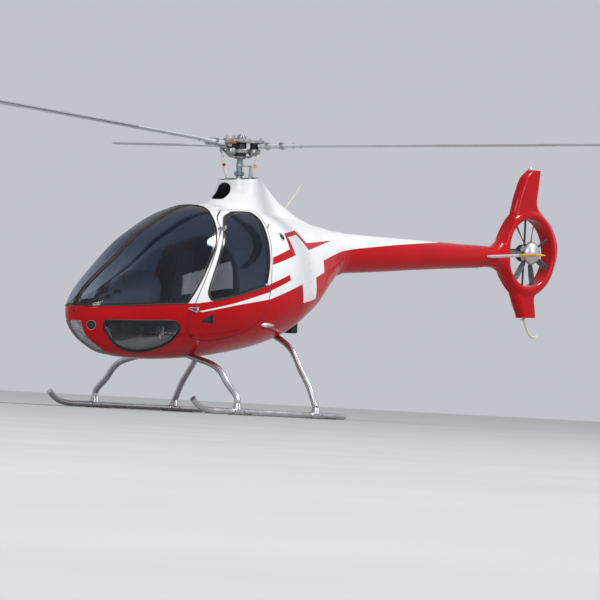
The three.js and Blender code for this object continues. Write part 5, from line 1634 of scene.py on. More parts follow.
def mat_recipe(at):
    ribs = at.node("ShaderNodeSeparateXYZ", None, {0: at}, out=1).sum("MULTIPLY", 420.0).sum("SINE")
    return {"Base Color": speckle(at, 9.0, 0.0, 1.0, 5.0).pick((0.035, 0.038, 0.042), (0.060, 0.063, 0.066)),
            "Roughness": speckle(at, 30.0, 0.6, 0.85), "Bump": (ribs, 0.0006)}


def quilt_recipe(at):
    split = at.node("ShaderNodeSeparateXYZ", None, {0: at}, out=1).sum("MULTIPLY", 26.0).sum("SINE")
    rows = at.node("ShaderNodeSeparateXYZ", None, {0: at}, out=2).sum("MULTIPLY", 26.0).sum("SINE")
    return {"Base Color": speckle(at, 9.0, 0.0, 1.0, 5.0).pick((0.022, 0.026, 0.040), (0.036, 0.042, 0.058)),
            "Roughness": speckle(at, 30.0, 0.7, 0.9), "Bump": (split * rows, 0.004)}


mat_rubber = finish("ribbed_floor_mat", mat_recipe)
quilted = finish("quilted_trim", quilt_recipe)
floor_panel = block("floor_panel", FLOOR_X, (-0.70, 0.70), (FLOOR_TOP - 0.025, FLOOR_TOP))
fit_body = hull_body("fit_body", SHELL_FIT, 60, 72)
cut(floor_panel, [fit_body], "INTERSECT")
dressed(floor_panel, "airframe", "grey_trim", mat_rubber, "cabin_floor")
slab = BULKHEAD_FRONT + [(x + BULKHEAD_THICK, z) for x, z in reversed(BULKHEAD_FRONT)]
wall = side_prism("bulkhead_panel", np.array(slab), -0.70, 0.70)
cut(wall, [fit_body], "INTERSECT")
dressed(wall, "airframe", "grey_trim", quilted, "cabin_bulkhead")
seam_lines = []
for y in (-0.46, -0.08, 0.08, 0.46):
    seam_lines.append([(x - 0.0008, y, z) for x, z in flowing_outline(BULKHEAD_FRONT[1:6], 0.02,
                                                                      closed=False)])
beads("bulkhead_piping", seam_lines, 0.004, rubber, "airframe", "dark_trim", closed=False)

# Instrument console: a moulded grey cowl over the panel, rising towards the crew, with three
# eyeball air outlets along each flank, a deep instrument face, a compass and a centre pedestal.
CONSOLE_RINGS = [  # x, low, top, half
    (-1.800, 0.720, 0.815, 0.060), (-1.600, 0.705, 0.900, 0.110), (-1.380, 0.705, 1.010, 0.150),
    (-1.220, 0.715, 1.130, 0.210), (-1.130, 0.760, 1.150, 0.225)]
CONSOLE_VENTS = [(-1.690, 0.62), (-1.590, 0.66), (-1.485, 0.72)]


cowl_grey = finish("moulded_grey_plastic", mottled((0.115, 0.125, 0.135), (0.150, 0.160, 0.170), (8.0, 5.0),
                                                   (30.0, 0.50, 0.70), (500.0, 2.0, 0.00006)))
console_table = np.array(CONSOLE_RINGS)
console_low, console_top, console_half = (flowing(console_table[:, 0], console_table[:, k])
                                          for k in (1, 2, 3))


def console_ring(x, inset=0.0, sides=64):
    low = float(console_low(x)) + inset
    top = float(console_top(x)) - inset
    half = float(console_half(x)) - inset
    ring = []
    for u in np.arange(sides) / sides * math.tau:
        c, s = math.cos(u), math.sin(u)
        ring.append((x, half * math.copysign(abs(c) ** 0.7, c), (low + top) / 2
                     + (top - low) / 2 * math.copysign(abs(s) ** 0.7, s)))
    return ring


rings = [console_ring(-1.800, 0.012), console_ring(-1.797, 0.004)]
rings += [console_ring(x) for x in np.linspace(-1.790, -1.140, 30)]
rings += [console_ring(-1.131, 0.003), console_ring(-1.130, 0.008), console_ring(-1.132, 0.016),
          console_ring(-1.150, 0.020)]
console_body = skinned("console_body", rings, 40)
pedestal_rings = [[(x, y, z) for x, y in ((-1.420 + i, -0.075 + i), (-1.180 - i, -0.075 + i),
                                          (-1.180 - i, 0.075 - i), (-1.420 + i, 0.075 - i))]
                  for z, i in ((FLOOR_TOP + 0.001, 0.0), (0.600, 0.0), (0.604, 0.004), (0.760, 0.010))]
pedestal = skinned("pedestal", pedestal_rings)
cut(console_body, [pedestal], "UNION")
drop(pedestal)
dressed(console_body, "airframe", "grey_trim", cowl_grey, "instrument_console")
vents = []
for x, turn in CONSOLE_VENTS:
    for side in (-1, 1):
        low, top, half = float(console_low(x)), float(console_top(x)), float(console_half(x))
        u = turn * math.pi / 2
        y, z = half * math.cos(u) ** 0.7, (low + top) / 2 + (top - low) / 2 * math.sin(u) ** 0.7
        facing = Vector((-0.55, side * 0.75, 0.55)).normalized()
        vents.append(lathe("vent", [(0.0004, -0.012), (0.030, -0.012), (0.032, 0.004), (0.030, 0.007),
                                    (0.0255, 0.008), (0.0245, 0.001), (0.019, 0.004), (0.010, 0.007),
                                    (0.0004, 0.008)], (x, side * y, z), facing, 32))
dressed(fused("console_vents", vents), "airframe", "dark_trim", rubber)
face_parts, glass_parts = [], []
DIALS = [(-0.150, 1.085, 0.040), (-0.052, 1.085, 0.040), (0.052, 1.085, 0.040), (0.150, 1.085, 0.040),
         (-0.150, 0.985, 0.040), (-0.052, 0.985, 0.040), (0.052, 0.985, 0.040), (0.150, 0.985, 0.040),
         (-0.110, 0.885, 0.030), (0.0, 0.885, 0.030), (0.110, 0.885, 0.030)]
panel_face = skinned("panel_face", [[(x, y * 0.99, 0.955 + (z - 0.955) * 0.99)
                                     for _, y, z in console_ring(-1.131, 0.021)] for x in (-1.158, -1.149)])
dressed(panel_face, "airframe", "dark_trim", lining_and_painted_shade)
for y, z, r in DIALS:
    face_parts.append(lathe("dial_ring", [(r * 0.70, -0.002), (r, -0.002), (r, 0.005), (r * 0.92, 0.007),
                                          (r * 0.86, 0.006), (r * 0.84, 0.001)], (-1.149, y, z), (1, 0, 0),
                            32))
    glass_parts.append(lathe("dial_glass", [(0.0004, -0.001), (r * 0.86, -0.001), (r * 0.86, 0.0035),
                                            (0.0004, 0.0045)], (-1.149, y, z), (1, 0, 0), 32))
dressed(fused("dial_rings", face_parts), "airframe", "dark_trim", rubber)
dressed(fused("dial_glasses", glass_parts), "airframe", "dark_trim", border_black)
compass = fused("compass", [rod("stalk", (-1.345, 0, 1.020), (-1.340, 0, 1.110), 0.009),
                            lathe("bowl", [(0.0004, -0.036), (0.026, -0.034), (0.040, -0.018), (0.042, 0.0),
                                           (0.040, 0.018), (0.026, 0.034), (0.0004, 0.036)],
                                  (-1.340, 0, 1.145), (1, 0, 0.1), 32),
                            rod("bracket", (-1.345, 0, 1.110), (-1.300, 0.0, 1.300), 0.008),
                            lathe("holder", [(0.0004, -0.014), (0.030, -0.012), (0.034, 0.0), (0.030, 0.012),
                                             (0.0004, 0.014)], (-1.310, 0, 1.255), (1, 0, -0.3), 28)])
dressed(compass, "airframe", "dark_trim", rubber)
strut_line = [(x, 0.0, z) for x, z in flowing_outline([(-1.702, 0.848), (-1.510, 1.112), (-1.310, 1.334),
                                                       (-1.196, 1.441)], 0.02, closed=False)]
dressed(swept("screen_strut_tube", strut_line, 0.0108, 20), "airframe", "dark_trim", dark_cast,
        "screen_strut")

# Seats: a moulded pan and a tall back, each with a thick padded cushion sewn from dark cloth with
# a grey panel down the middle, and a four-point harness with steel buckles.
SEAT_Y = 0.270
SEAT_HALF = 0.190
SEAT_PAN = [(-0.780, 0.586), (-0.330, 0.586), (-0.300, 0.640), (-0.330, 0.800), (-0.420, 0.812),
            (-0.700, 0.838), (-0.768, 0.815)]
SEAT_BACK = [(-0.322, 0.790), (-0.187, 1.380), (-0.178, 1.470), (-0.200, 1.482), (-0.222, 1.440),
             (-0.340, 0.860)]


def cloth_recipe(at):
    weave = at.node("ShaderNodeTexWave", {"bands_direction": "DIAGONAL"},
                    {0: at, "Scale": 160.0, "Distortion": 1.5}, out=1)
    side = at.node("ShaderNodeSeparateXYZ", None, {0: at}, out=1).sum("ABSOLUTE")
    middle = (side - SEAT_Y).sum("ABSOLUTE").step(0.096, 0.090)
    worn = speckle(at, 12.0, 0.0, 1.0, 5.0)
    dark = worn.pick((0.022, 0.024, 0.030), (0.034, 0.036, 0.042))
    pale = worn.pick((0.150, 0.140, 0.130), (0.190, 0.178, 0.165))
    return {"Base Color": middle.pick(dark, pale), "Roughness": speckle(at, 60.0, 0.75, 0.95),
            "Bump": (weave, 0.0005)}


seat_cloth = finish("seat_cloth_two_tone", cloth_recipe)


def cushion_form(name, place, size, tilt, crown):
    """A boxy pad with two long grooves, ready to be puffed up: place is its middle."""
    across = np.linspace(-1, 1, 25)
    along = np.linspace(-1, 1, 31)
    verts, faces = [], []
    for layer in (1, -1):
        for a in along:
            for b in across:
                edge = (1 - abs(a) ** 8) * (1 - abs(b) ** 8)
                groove = 0.30 * math.exp(-((abs(b) - 0.50) / 0.035) ** 2) * (layer > 0)
                groove += 0.22 * math.exp(-((abs(a) - 0.34) / 0.03) ** 2) * (layer > 0) * (abs(b) < 0.5)
                h = layer * size[2] * (0.30 + 0.70 * max(edge, 0) ** 0.35) * (1 - groove)
                h += (layer > 0) * crown * (1 - a * a) * (1 - b * b)
                p = Vector((a * size[0], b * size[1], h))
                verts.append(Matrix.Rotation(tilt, 3, "Y") @ p + Vector(place))
    rows, cols = len(along), len(across)
    top = rows * cols
    for i in range(rows - 1):
        for j in range(cols - 1):
            q = [i * cols + j, (i + 1) * cols + j, (i + 1) * cols + j + 1, i * cols + j + 1]
            faces.append(q)
            faces.append([top + k for k in reversed(q)])
    rim = ([j for j in range(cols)] + [i * cols + cols - 1 for i in range(1, rows)]
           + [(rows - 1) * cols + j for j in range(cols - 2, -1, -1)]
           + [i * cols for i in range(rows - 2, 0, -1)])
    for k, m in zip(rim, rim[1:] + rim[:1]):
        faces.append([m, k, top + k, top + m])
    return shaped(name, verts, faces)


def puffed(form, name):
    """Blows a pad up a little as sewn cloth over foam, then smooths it once."""
    pad = copied(form, name)
    remesh = pad.modifiers.new("remesh", "REMESH")
    remesh.mode = "VOXEL"
    remesh.voxel_size = 0.006
    settled(pad)
    cloth = pad.modifiers.new("cloth", "CLOTH")
    cloth.settings.use_pressure = True
    cloth.settings.uniform_pressure_force = 4.0
    cloth.settings.effector_weights.gravity = 0.0
    cloth.point_cache.frame_start = 1
    cloth.point_cache.frame_end = 20
    before = np.empty(len(pad.data.vertices) * 3)
    pad.data.vertices.foreach_get("co", before)
    for number in range(1, 21):
        bpy.context.scene.frame_set(number)
    blown = pad.evaluated_get(bpy.context.evaluated_depsgraph_get()).data
    after = np.empty(len(before))
    blown.vertices.foreach_get("co", after)
    bpy.context.scene.frame_set(1)
    pad.modifiers.remove(cloth)
    moved = (after - before).reshape(-1, 3)
    far = np.linalg.norm(moved, axis=1)
    moved *= (np.minimum(far, PUFF_LIMIT) / np.maximum(far, 1e-9))[:, None]
    pad.data.vertices.foreach_set("co", (before.reshape(-1, 3) + moved).ravel())
    pad.data.update()
    fine = pad.modifiers.new("fine", "SUBSURF")
    fine.levels = fine.render_levels = 1
    settled(pad)
    pad.data.shade_smooth()
    drop(form)
    return pad


PUFF_LIMIT = 0.022


seat_shell = finish("seat_shell_composite", mottled((0.030, 0.031, 0.034), (0.050, 0.051, 0.054),
                                                    (15.0, 4.0), (40.0, 0.45, 0.65), (350.0, 3.0, 0.0002)))


def webbing_recipe(at):
    weave = at.node("ShaderNodeTexWave", None, {0: at, "Scale": 240.0}, out=1)
    return {"Base Color": speckle(at, 20.0, 0.0, 1.0, 4.0).pick((0.014, 0.015, 0.018), (0.028, 0.029, 0.033)),
            "Roughness": speckle(at, 60.0, 0.6, 0.8), "Bump": (weave, 0.0004)}


webbing = finish("harness_webbing", webbing_recipe)


def strap(name, points, width, thick=0.0016):
    """A flat belt along points given with the direction it faces."""
    rings = []
    for k, (p, facing) in enumerate(points):
        before, after = points[max(k - 1, 0)][0], points[min(k + 1, len(points) - 1)][0]
        along = (Vector(after) - Vector(before)).normalized()
        across = along.cross(Vector(facing)).normalized() * width / 2
        lift = across.cross(along).normalized() * thick
        rings.append([Vector(p) + across - lift, Vector(p) + across + lift, Vector(p) - across + lift,
                      Vector(p) - across - lift])
    return skinned(name, rings)


for side, label in ((-1, "port"), (1, "starboard")):
    y = side * SEAT_Y
    shells = [side_prism("pan", flowing_outline(SEAT_PAN, 0.02), y - SEAT_HALF, y + SEAT_HALF),
              side_prism("back", flowing_outline(SEAT_BACK, 0.02), y - SEAT_HALF + 0.008,
                         y + SEAT_HALF - 0.008)]
    for part in shells:
        cut(part, [fit_body], "INTERSECT")
    dressed(fused(f"seat_shell_{label}", shells), "airframe", "seat_cloth", seat_shell, f"seat_{label}")
    base = puffed(cushion_form("base_form", (-0.560, y, 0.836), (0.195, 0.172, 0.026), 0.085, 0.016),
                  f"seat_cushion_{label}")
    dressed(base, "airframe", "seat_cloth", seat_cloth)
    back = puffed(cushion_form("back_form", (-0.292, y, 1.125), (0.265, 0.166, 0.022), -1.345, 0.012),
                  f"seat_back_{label}")
    dressed(back, "airframe", "seat_cloth", seat_cloth)
    belts = []
    for hand in (-1, 1):
        shoulder = [((-0.205, y + hand * 0.060, 1.440), (-1, 0, 0.25)),
                    ((-0.262, y + hand * 0.062, 1.400), (-1, 0, 0.3)),
                    ((-0.310, y + hand * 0.064, 1.200), (-1, 0, 0.25)),
                    ((-0.348, y + hand * 0.060, 1.030), (-1, 0, 0.25)),
                    ((-0.392, y + hand * 0.035, 0.915), (-0.9, 0, 0.6)),
                    ((-0.440, y + hand * 0.012, 0.886), (-0.3, 0, 1))]
        belts.append(strap("shoulder", shoulder, 0.045))
        lap = [((-0.360, y + hand * 0.176, 0.840), (0, hand, 0.4)),
               ((-0.400, y + hand * 0.170, 0.880), (-0.2, hand, 1)),
               ((-0.440, y + hand * 0.110, 0.892), (-0.2, 0, 1)),
               ((-0.470, y + hand * 0.020, 0.888), (-0.2, 0, 1))]
        belts.append(strap("lap", lap, 0.045))
    dressed(fused(f"harness_{label}", belts), "airframe", "seat_cloth", webbing)
    buckle = fused(f"harness_buckle_{label}", [
        lathe("buckle", [(0.0004, -0.004), (0.030, -0.004), (0.032, 0.002), (0.029, 0.009), (0.014, 0.012),
                         (0.0004, 0.0125)], (-0.458, y, 0.892), (-0.15, 0, 1), 32)])
    dressed(buckle, "airframe", "seat_cloth", steel)

# Hand and foot controls: bent black sticks with moulded grips and rubber boots, levers with
# twist grips beside the seats, and pairs of pedals on a cross shaft.
for side, label in ((-1, "port"), (1, "starboard")):
    y = side * SEAT_Y
    path = [(x, y, z) for x, z in flowing_outline([(-0.850, 0.600), (-0.880, 0.760), (-0.915, 0.900),
                                                   (-0.900, 0.972)], 0.01, closed=False)]
    grip = lathe("grip", [(0.010, -0.036), (0.019, -0.034), (0.0235, -0.020), (0.0200, -0.006),
                          (0.0240, 0.010), (0.0215, 0.024), (0.0250, 0.034), (0.0190, 0.042),
                          (0.0004, 0.0435)], (-0.893, y, 0.985), (0.10, 0, 1), 28)
    boot = lathe("boot", [(0.0395, 0.0), (0.0395, 0.006), (0.030, 0.010), (0.034, 0.014), (0.026, 0.018),
                          (0.029, 0.022), (0.021, 0.026), (0.024, 0.030), (0.015, 0.036), (0.0135, 0.042)],
                 (-0.850, y, FLOOR_TOP + 0.001), (0, 0, 1), 36)
    button = rod("button", (-0.905, y, 1.000), (-0.924, y, 1.002), 0.0065)
    dressed(fused(f"cyclic_stick_{label}", [swept("stick", path, 0.0125, 18), grip, boot, button]),
            "airframe", "dark_trim", rubber, f"cyclic_{label}")
for label, y, z in (("port", -0.478, 0.722), ("starboard", 0.038, 0.650)):
    low, high = Vector((-0.380, y, z)), Vector((-0.640, y, z + 0.120))
    along = (high - low).normalized()
    lever = [rod("lever", low, high, 0.0125, 20)]
    grip = [(0.0125, -0.050), (0.0155, -0.048)]
    for k in range(7):
        grip += [(0.0158, -0.044 + k * 0.012), (0.0145, -0.040 + k * 0.012), (0.0158, -0.036 + k * 0.012)]
    lever.append(lathe("twist_grip", grip + [(0.0150, 0.048), (0.0004, 0.052)], high - along * 0.030, along,
                       28))
    if label == "port":
        lever.append(block("lever_bracket", (-0.402, -0.358), (-0.492, -0.4606), (0.700, 0.748)))
    else:
        lever.append(lathe("lever_post", [(0.0195, 0.0), (0.0195, 0.060), (0.016, 0.070), (0.0004, 0.078)],
                           (-0.380, y, FLOOR_TOP + 0.0008), (0, 0, 1), 28))
    dressed(fused(f"collective_lever_{label}", lever), "airframe", "dark_trim", rubber, f"collective_{label}")
for side, label in ((-1, "port"), (1, "starboard")):
    pedals = [rod("shaft", (-1.284, side * SEAT_Y - 0.130, 0.630), (-1.284, side * SEAT_Y + 0.130, 0.630),
                  0.0088, 20)]
    for foot in (-0.110, 0.110):
        y = side * SEAT_Y + foot
        pedals.append(rod("post", (-1.284, y, FLOOR_TOP + 0.0008), (-1.284, y, 0.640), 0.0105, 20))
        rings = [[(x, y + a, z + b) for a, b in ((-0.034, -0.036), (0.034, -0.036), (0.039, -0.030),
                                                 (0.039, 0.030), (0.034, 0.036), (-0.034, 0.036),
                                                 (-0.039, 0.030), (-0.039, -0.030))]
                 for x in (-1.290, -1.279) for z in (0.652,)]
        pedals.append(skinned("pedal", rings))
        for k in range(5):
            pedals.append(block("rib", (-1.2795, -1.2765), (y - 0.032, y + 0.032),
                                (0.624 + k * 0.013, 0.629 + k * 0.013)))
    dressed(fused(f"pedal_pair_{label}", pedals), "airframe", "dark_trim", worn_steel, f"pedals_{label}")

# Engine and main gearbox: the heavy masses behind the bulkhead. The crankcase is one plain block,
# and the gearbox is a cast housing with a turned top that carries the mast.
cast_grey = finish("cast_alloy_housing", mottled((0.20, 0.21, 0.22), (0.30, 0.31, 0.32), (9.0, 5.0),
                                                 (40.0, 0.40, 0.60), (260.0, 3.0, 0.0004)), metallic=0.7)
ENGINE_X = (0.210, 0.640)
ENGINE_Y = 0.190
ENGINE_Z = (1.000, 1.330)
GEARBOX_RADIUS = 0.095


def soft_block(name, x, y, z, edge=0.008):
    """A box whose every edge is rounded off a little."""
    made = block(name, x, y, z)
    bevel = made.modifiers.new("edge", "BEVEL")
    bevel.width = edge
    bevel.segments = 3
    settled(made)
    made.data.shade_smooth()
    made.data.set_sharp_from_angle(angle=math.radians(32))
    return made


engine_parts = [soft_block("crankcase", ENGINE_X, (-ENGINE_Y, ENGINE_Y), ENGINE_Z)]
dressed(fused("engine_case", engine_parts), "airframe", "cast_metal", cast_grey, "engine_block")
housing = [lathe("housing", [(0.088, 1.300), (GEARBOX_RADIUS, 1.306), (GEARBOX_RADIUS, 1.352), (0.086, 1.360),
                             (0.084, 1.500), (GEARBOX_RADIUS, 1.508), (GEARBOX_RADIUS, 1.540), (0.070, 1.556),
                             (0.060, 1.586), (0.0306, 1.586)], (0, 0, 0), sides=56),
           soft_block("lower_housing", (-0.188, ENGINE_X[0] - 0.001), (-0.085, 0.085), (1.180, 1.345))]
dressed(fused("gearbox_housing", housing), "airframe", "cast_metal", cast_grey, "main_gearbox")

# Control rods: three slim pale-blue push rods climb inside the fairing to the fixed half of the
# swashplate, and show through the air hole.
ROD_FOOT = 1.620
ROD_TOP = 1.936


rod_blue = finish("anodised_blue_rod", mottled((0.34, 0.44, 0.52), (0.42, 0.52, 0.60), (30.0, 4.0),
                                               (40.0, 0.25, 0.40), (150.0, 3.0, 0.00006)), metallic=0.5)
rods, rod_ends = [], []
for turn in (math.radians(196), math.radians(300), math.radians(72)):
    foot = Vector((math.cos(turn) * 0.078, math.sin(turn) * 0.078, ROD_FOOT))
    top = Vector((math.cos(turn) * 0.092, math.sin(turn) * 0.092, ROD_TOP - 0.012))
    rods.append(rod("push_rod", foot, top, 0.0085, 20))
    for spot in (foot + Vector((0, 0, 0.02)), top - Vector((0, 0, 0.012))):
        rod_ends.append(lathe("rod_socket", [(0.008, -0.018), (0.0125, -0.014), (0.0125, 0.014),
                                             (0.008, 0.018)], spot, (top - foot).normalized(), 24))
dressed(fused("control_rods", rods), "airframe", "alloy", rod_blue)
dressed(fused("control_rod_ends", rod_ends), "airframe", "steel_grey", steel)

# Exhaust outlet: a dark heat-stained steel box, open below, that hangs under the cowling.
EXHAUST_Z = (0.715, 0.960)
VANE_COUNT = 5
VANE_FIRST = 0.022
VANE_PITCH = 0.026
VANE_HALF = 0.0008
VANE_LOW = 0.735
VANE_HIGH = 0.775
VANE_INSET = 0.0105


sooty = finish("heat_stained_steel", mottled((0.012, 0.012, 0.013), (0.035, 0.031, 0.028), (14.0, 5.0),
                                             (40.0, 0.5, 0.8), (200.0, 3.0, 0.0003)), metallic=0.4)
outlet = soft_block("exhaust_box", (EXHAUST_X[0] + 0.001, EXHAUST_X[1] - 0.001),
                    (EXHAUST_Y[0] + 0.001, EXHAUST_Y[1] - 0.001), EXHAUST_Z, 0.010)
cut(outlet, [block("exhaust_inside", (EXHAUST_X[0] + 0.010, EXHAUST_X[1] - 0.010),
                   (EXHAUST_Y[0] + 0.010, EXHAUST_Y[1] - 0.010), (0.60, 0.950))])
dressed(outlet, "airframe", "cast_metal", sooty, "exhaust_outlet")
vane_front, vane_rear = EXHAUST_X[0] + VANE_INSET, EXHAUST_X[1] - VANE_INSET
vane = np.array([(vane_front, VANE_LOW), (vane_rear, VANE_LOW), (vane_rear, VANE_HIGH),
                 (vane_front, VANE_HIGH)])
for k in range(VANE_COUNT):
    y = EXHAUST_Y[0] + VANE_FIRST + k * VANE_PITCH
    plate = side_prism(f"exhaust_vane_{k + 1}", vane, y - VANE_HALF, y + VANE_HALF)
    dressed(plate, "airframe", "cast_metal", sooty)

# Navigation lights: a clear lens in a polished teardrop fairing low on each side.
LIGHT_PLACE = (-0.200, 0.590, 0.756)
LIGHT_REACH = 0.0805
for side, label in ((-1, "port"), (1, "starboard")):
    rings = []
    for t in np.linspace(-0.995, 0.995, 40):
        shape = math.sqrt(1 - t * t) * (1 - 0.16 * t)
        x = LIGHT_PLACE[0] + t * LIGHT_REACH
        rings.append([(x, side * (LIGHT_PLACE[1] + 0.0185 * shape * math.cos(u)),
                       LIGHT_PLACE[2] + 0.0195 * shape * math.sin(u))
                      for u in np.arange(32) / 32 * math.tau])
    drop_shape = skinned(f"light_fairing_{label}", rings)
    lens_part = copied(drop_shape, f"light_lens_{label}")
    front = block("light_front", (-0.300, -0.236), (-0.8, 0.8), (0.6, 0.9))
    cut(lens_part, [front], "INTERSECT")
    cut(drop_shape, [front])
    dressed(drop_shape, "airframe", "alloy", fan_metal, f"position_light_{label}")
    dressed(lens_part, "airframe", "lens", frosted)

# Nose lamp: a bright reflector with a bulb behind the clear cover, on a bracket in a pale bay.
LAMP_PLACE = (-1.745, 0.0, 0.610)
LAMP_AXIS = Vector((-0.065, 0, -0.020)).normalized()


reflector = finish("polished_reflector", mottled((0.86, 0.87, 0.88), (0.94, 0.94, 0.95), (60.0, 3.0),
                                                 (40.0, 0.04, 0.10), (160.0, 3.0, 0.0001)), metallic=1.0)
lamp_can = lathe("lamp_can", [(0.0004, -0.064), (0.020, -0.062), (0.032, -0.040), (0.0355, -0.004),
                              (0.0358, 0.0), (0.0330, 0.001), (0.0320, -0.006), (0.026, -0.026),
                              (0.014, -0.038), (0.0004, -0.040)], LAMP_PLACE, LAMP_AXIS, 48)
dressed(lamp_can, "airframe", "alloy", reflector, "landing_lamp")
dressed(rod("lamp_bulb", Vector(LAMP_PLACE) - LAMP_AXIS * 0.038, Vector(LAMP_PLACE) - LAMP_AXIS * 0.012,
            0.006), "airframe", "lens", frosted)
lamp_arm = [block("lamp_arm", (-1.700, -1.501), (-0.0175, 0.0175), (0.5665, 0.5835)),
            block("lamp_post", (-1.700, -1.685), (-0.0175, 0.0175), (0.5665, 0.622))]
dressed(fused("lamp_bracket", lamp_arm), "airframe", "steel_grey", steel)


bay_white = finish("lamp_bay_paint", mottled((0.55, 0.55, 0.52), (0.66, 0.66, 0.63), (8.0, 5.0),
                                             (30.0, 0.35, 0.55), (90.0, 3.0, 0.0002)))
tray = [(-1.800, 0.690), (-1.560, 0.662), (-1.500, 0.560), (-1.440, 0.475), (-1.452, 0.468), (-1.514, 0.552),
        (-1.572, 0.650), (-1.800, 0.678)]
dressed(side_prism("lamp_bay_tray", np.array(tray), -0.062, 0.062), "airframe", "white_paint", bay_white)

# Door handles: a flush steel latch on each door's rear edge, with a small turning lever.
LATCH_X = -0.300
LATCH_Z = 1.085
BOSS_X = LATCH_X - 0.014
for side, label in ((-1, "port"), (1, "starboard")):
    y = side * float(hull_y(LATCH_X, LATCH_Z))
    parts = [lathe("latch_boss", [(0.0004, 0.0135), (0.009, 0.0130), (0.0120, 0.0095), (0.0125, 0.003),
                                  (0.0125, -0.002)], (BOSS_X, y, LATCH_Z), (0, side, 0), 28),
             rod("latch_lever", (BOSS_X, y + side * 0.008, LATCH_Z),
                 (LATCH_X + 0.030, y + side * 0.006, LATCH_Z + 0.001), 0.0058, 16)]
    dressed(fused(f"door_latch_{label}", parts), f"door_{label}", "steel_grey", steel, f"door_handle_{label}")

# Air vents in the nose: a turned alloy ring round each round hole, with a dark turning flap inside.
for side, label in ((-1, "port"), (1, "starboard")):
    facing = Vector((-math.cos(0.75), side * math.sin(0.75), 0.0))
    x, z = VENT_PLACE[0], VENT_PLACE[2]
    at_skin = Vector((x, side * float(hull_y(x, z)), z))
    outline = []
    for u in np.arange(64) / 64 * math.tau:
        across = facing.cross(Vector((0, 0, 1))).normalized()
        p = Vector((VENT_PLACE[0], side * VENT_PLACE[1], z)) + across * (VENT_RADIUS * math.cos(u)) + Vector(
            (0, 0, VENT_RADIUS * math.sin(u)))
        for _ in range(12):
            gap = side * float(hull_y(p.x, p.z)) - p.y
            p += facing * (gap * side * 0.55)
        outline.append(p - facing * 0.0016)
    beads(f"vent_ring_{label}", [outline], 0.0030, machined, "airframe", "alloy", sides=12)
    middle = sum(outline, Vector()) / len(outline) - facing * 0.020
    flap = lathe(f"vent_flap_{label}", [(0.0004, 0.0), (0.0335, 0.0), (0.0345, 0.004), (0.0335, 0.010),
                                        (0.030, 0.010), (0.028, 0.003), (0.012, 0.006), (0.0004, 0.008)],
                 middle, facing, 40)
    dressed(flap, "airframe", "dark_trim", rubber)

# Fuel cap: a round dark recess in the port cowl with a bright ring.
CAP_PLACE = (0.009, 1.503)
cap_y = float(hull_y(*CAP_PLACE))
CAP_STEP = 0.01
cap_below, cap_above = (float(hull_y(CAP_PLACE[0], CAP_PLACE[1] + way * CAP_STEP)) for way in (-1, 1))
slope = Vector((0, -1, (cap_below - cap_above) / (2 * CAP_STEP))).normalized()
cap_at = (CAP_PLACE[0], -cap_y, CAP_PLACE[1])
fuel_cap = lathe("fuel_cap", [(0.0360, -0.006), (0.0390, 0.0), (0.0380, 0.0022), (0.0330, 0.0024),
                              (0.0315, 0.0005), (0.0310, -0.004)], cap_at, slope, 40)
dressed(fuel_cap, "airframe", "alloy", machined)
dressed(lathe("fuel_cap_plug", [(0.0004, 0.0016), (0.0180, 0.0012), (0.0240, -0.0006), (0.0314, -0.002),
                                (0.0314, -0.008)], cap_at, slope, 40), "airframe", "dark_trim", rubber)

# Antenna: a pale glass-fibre whip leans back from the rear of the cowling's top.
WHIP_FOOT = (0.5745, 0, 1.7375)
WHIP_LEAN = Vector((0.233, 0, 0.262))
whip = [lathe("whip_rod", [(0.0078, 0.0), (0.0075, 0.05), (0.0062, 0.28), (0.0050, 0.3495), (0.0004, 0.3505)],
              WHIP_FOOT, WHIP_LEAN, 20),
        lathe("whip_foot", [(0.016, -0.012), (0.016, 0.004), (0.012, 0.012), (0.0100, 0.034), (0.007, 0.036)],
              WHIP_FOOT, WHIP_LEAN, 28)]
dressed(fused("whip", whip), "airframe", "steel_grey", cream, "whip_antenna")

# Door edge seals: a black rubber lip fills the gap round each door's front and lower edge.
LIP_RADIUS = 0.0030
for side, label in ((-1, "port"), (1, "starboard")):
    line = skin_line(grown(door_line, 0.0038), side, inset=0.0036, least_y=DOOR_TOP_Y - 0.0038)
    beads(f"door_lip_{label}", [line], LIP_RADIUS, rubber, "airframe", "dark_trim", sides=8)

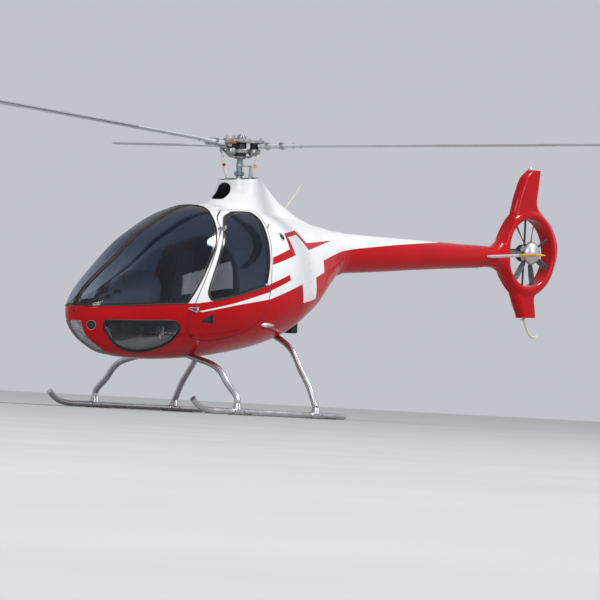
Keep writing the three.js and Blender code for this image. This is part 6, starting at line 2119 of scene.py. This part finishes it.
# Fasteners: countersunk screws hold the cowling's front edge, the boom's joint with the cowling and
# the fin's joint with the boom.
COWL_SCREWS = 56
BOOM_SCREWS = 18
FIN_SCREWS = 16
SCREW_HEIGHT = 0.0012


def belt_spots(x, count):
    """Screw places round the hull at one station, evenly along its ring."""
    ring = hull_ring(x, 0.0, 360)
    out = []
    for k in np.linspace(0, 359, count, endpoint=False):
        p = Vector(ring[int(k)])
        before, after = Vector(ring[int(k) - 2]), Vector(ring[(int(k) + 2) % 360])
        facing = (after - before).cross(Vector((1, 0, 0))).normalized()
        middle = Vector((x, 0, float(hull_mid(math.sqrt(x - NOSE_X)))))
        out.append((p, facing if facing.dot(p - middle) > 0 else -facing))
    return out


cowl_screws = [spot for spot in belt_spots(SPLIT_X + 0.016, COWL_SCREWS)
               if spot[0].z < 1.70 or abs(spot[0].y) > 0.27]
screws("cowl_screws", cowl_screws, 0.0042, SCREW_HEIGHT, worn_steel, "airframe", "steel_grey")
boom_screws = belt_spots(BODY_END - 0.020, BOOM_SCREWS)
screws("boom_joint_screws", boom_screws, 0.0036, SCREW_HEIGHT, worn_steel, "airframe", "steel_grey")
fin_spots = []
for p in boom_ring(BOOM_CUT - 0.016, FIN_SCREWS):
    middle = Vector((p[0], 0, (float(boom_low(p[0])) + float(boom_top(p[0]))) / 2))
    fin_spots.append((Vector(p), (Vector(p) - middle).normalized()))
screws("fin_joint_screws", fin_spots, 0.0036, SCREW_HEIGHT, worn_steel, "airframe", "steel_grey")

drop(hull_outer, hull_inner, glass_outer, glass_inner, glass_skin, whole_shell, screen_post, cabin_half,
     cowl_half, door_inner, door_shape, window_shape, window_fill, screen_fill, lamp_fill, screen_cut,
     lamp_cut, mast_cut, *door_cuts, *chin_cuts, *vent_cuts, *tube_cuts, window_clear, duct_ring, boom_end,
     duct_bore)
for thing in list(bpy.context.scene.objects):
    if thing.name.split(".")[0] in ("post_keep", "exhaust_cut", "fairing_inside", "fairing_hole",
                                    "half_keep", "chin_fill", "clear_fill", "fin_keep", "fin_outline",
                                    "fit_body", "recess", "recess_floor", "exhaust_inside", "light_front"):
        drop(thing)
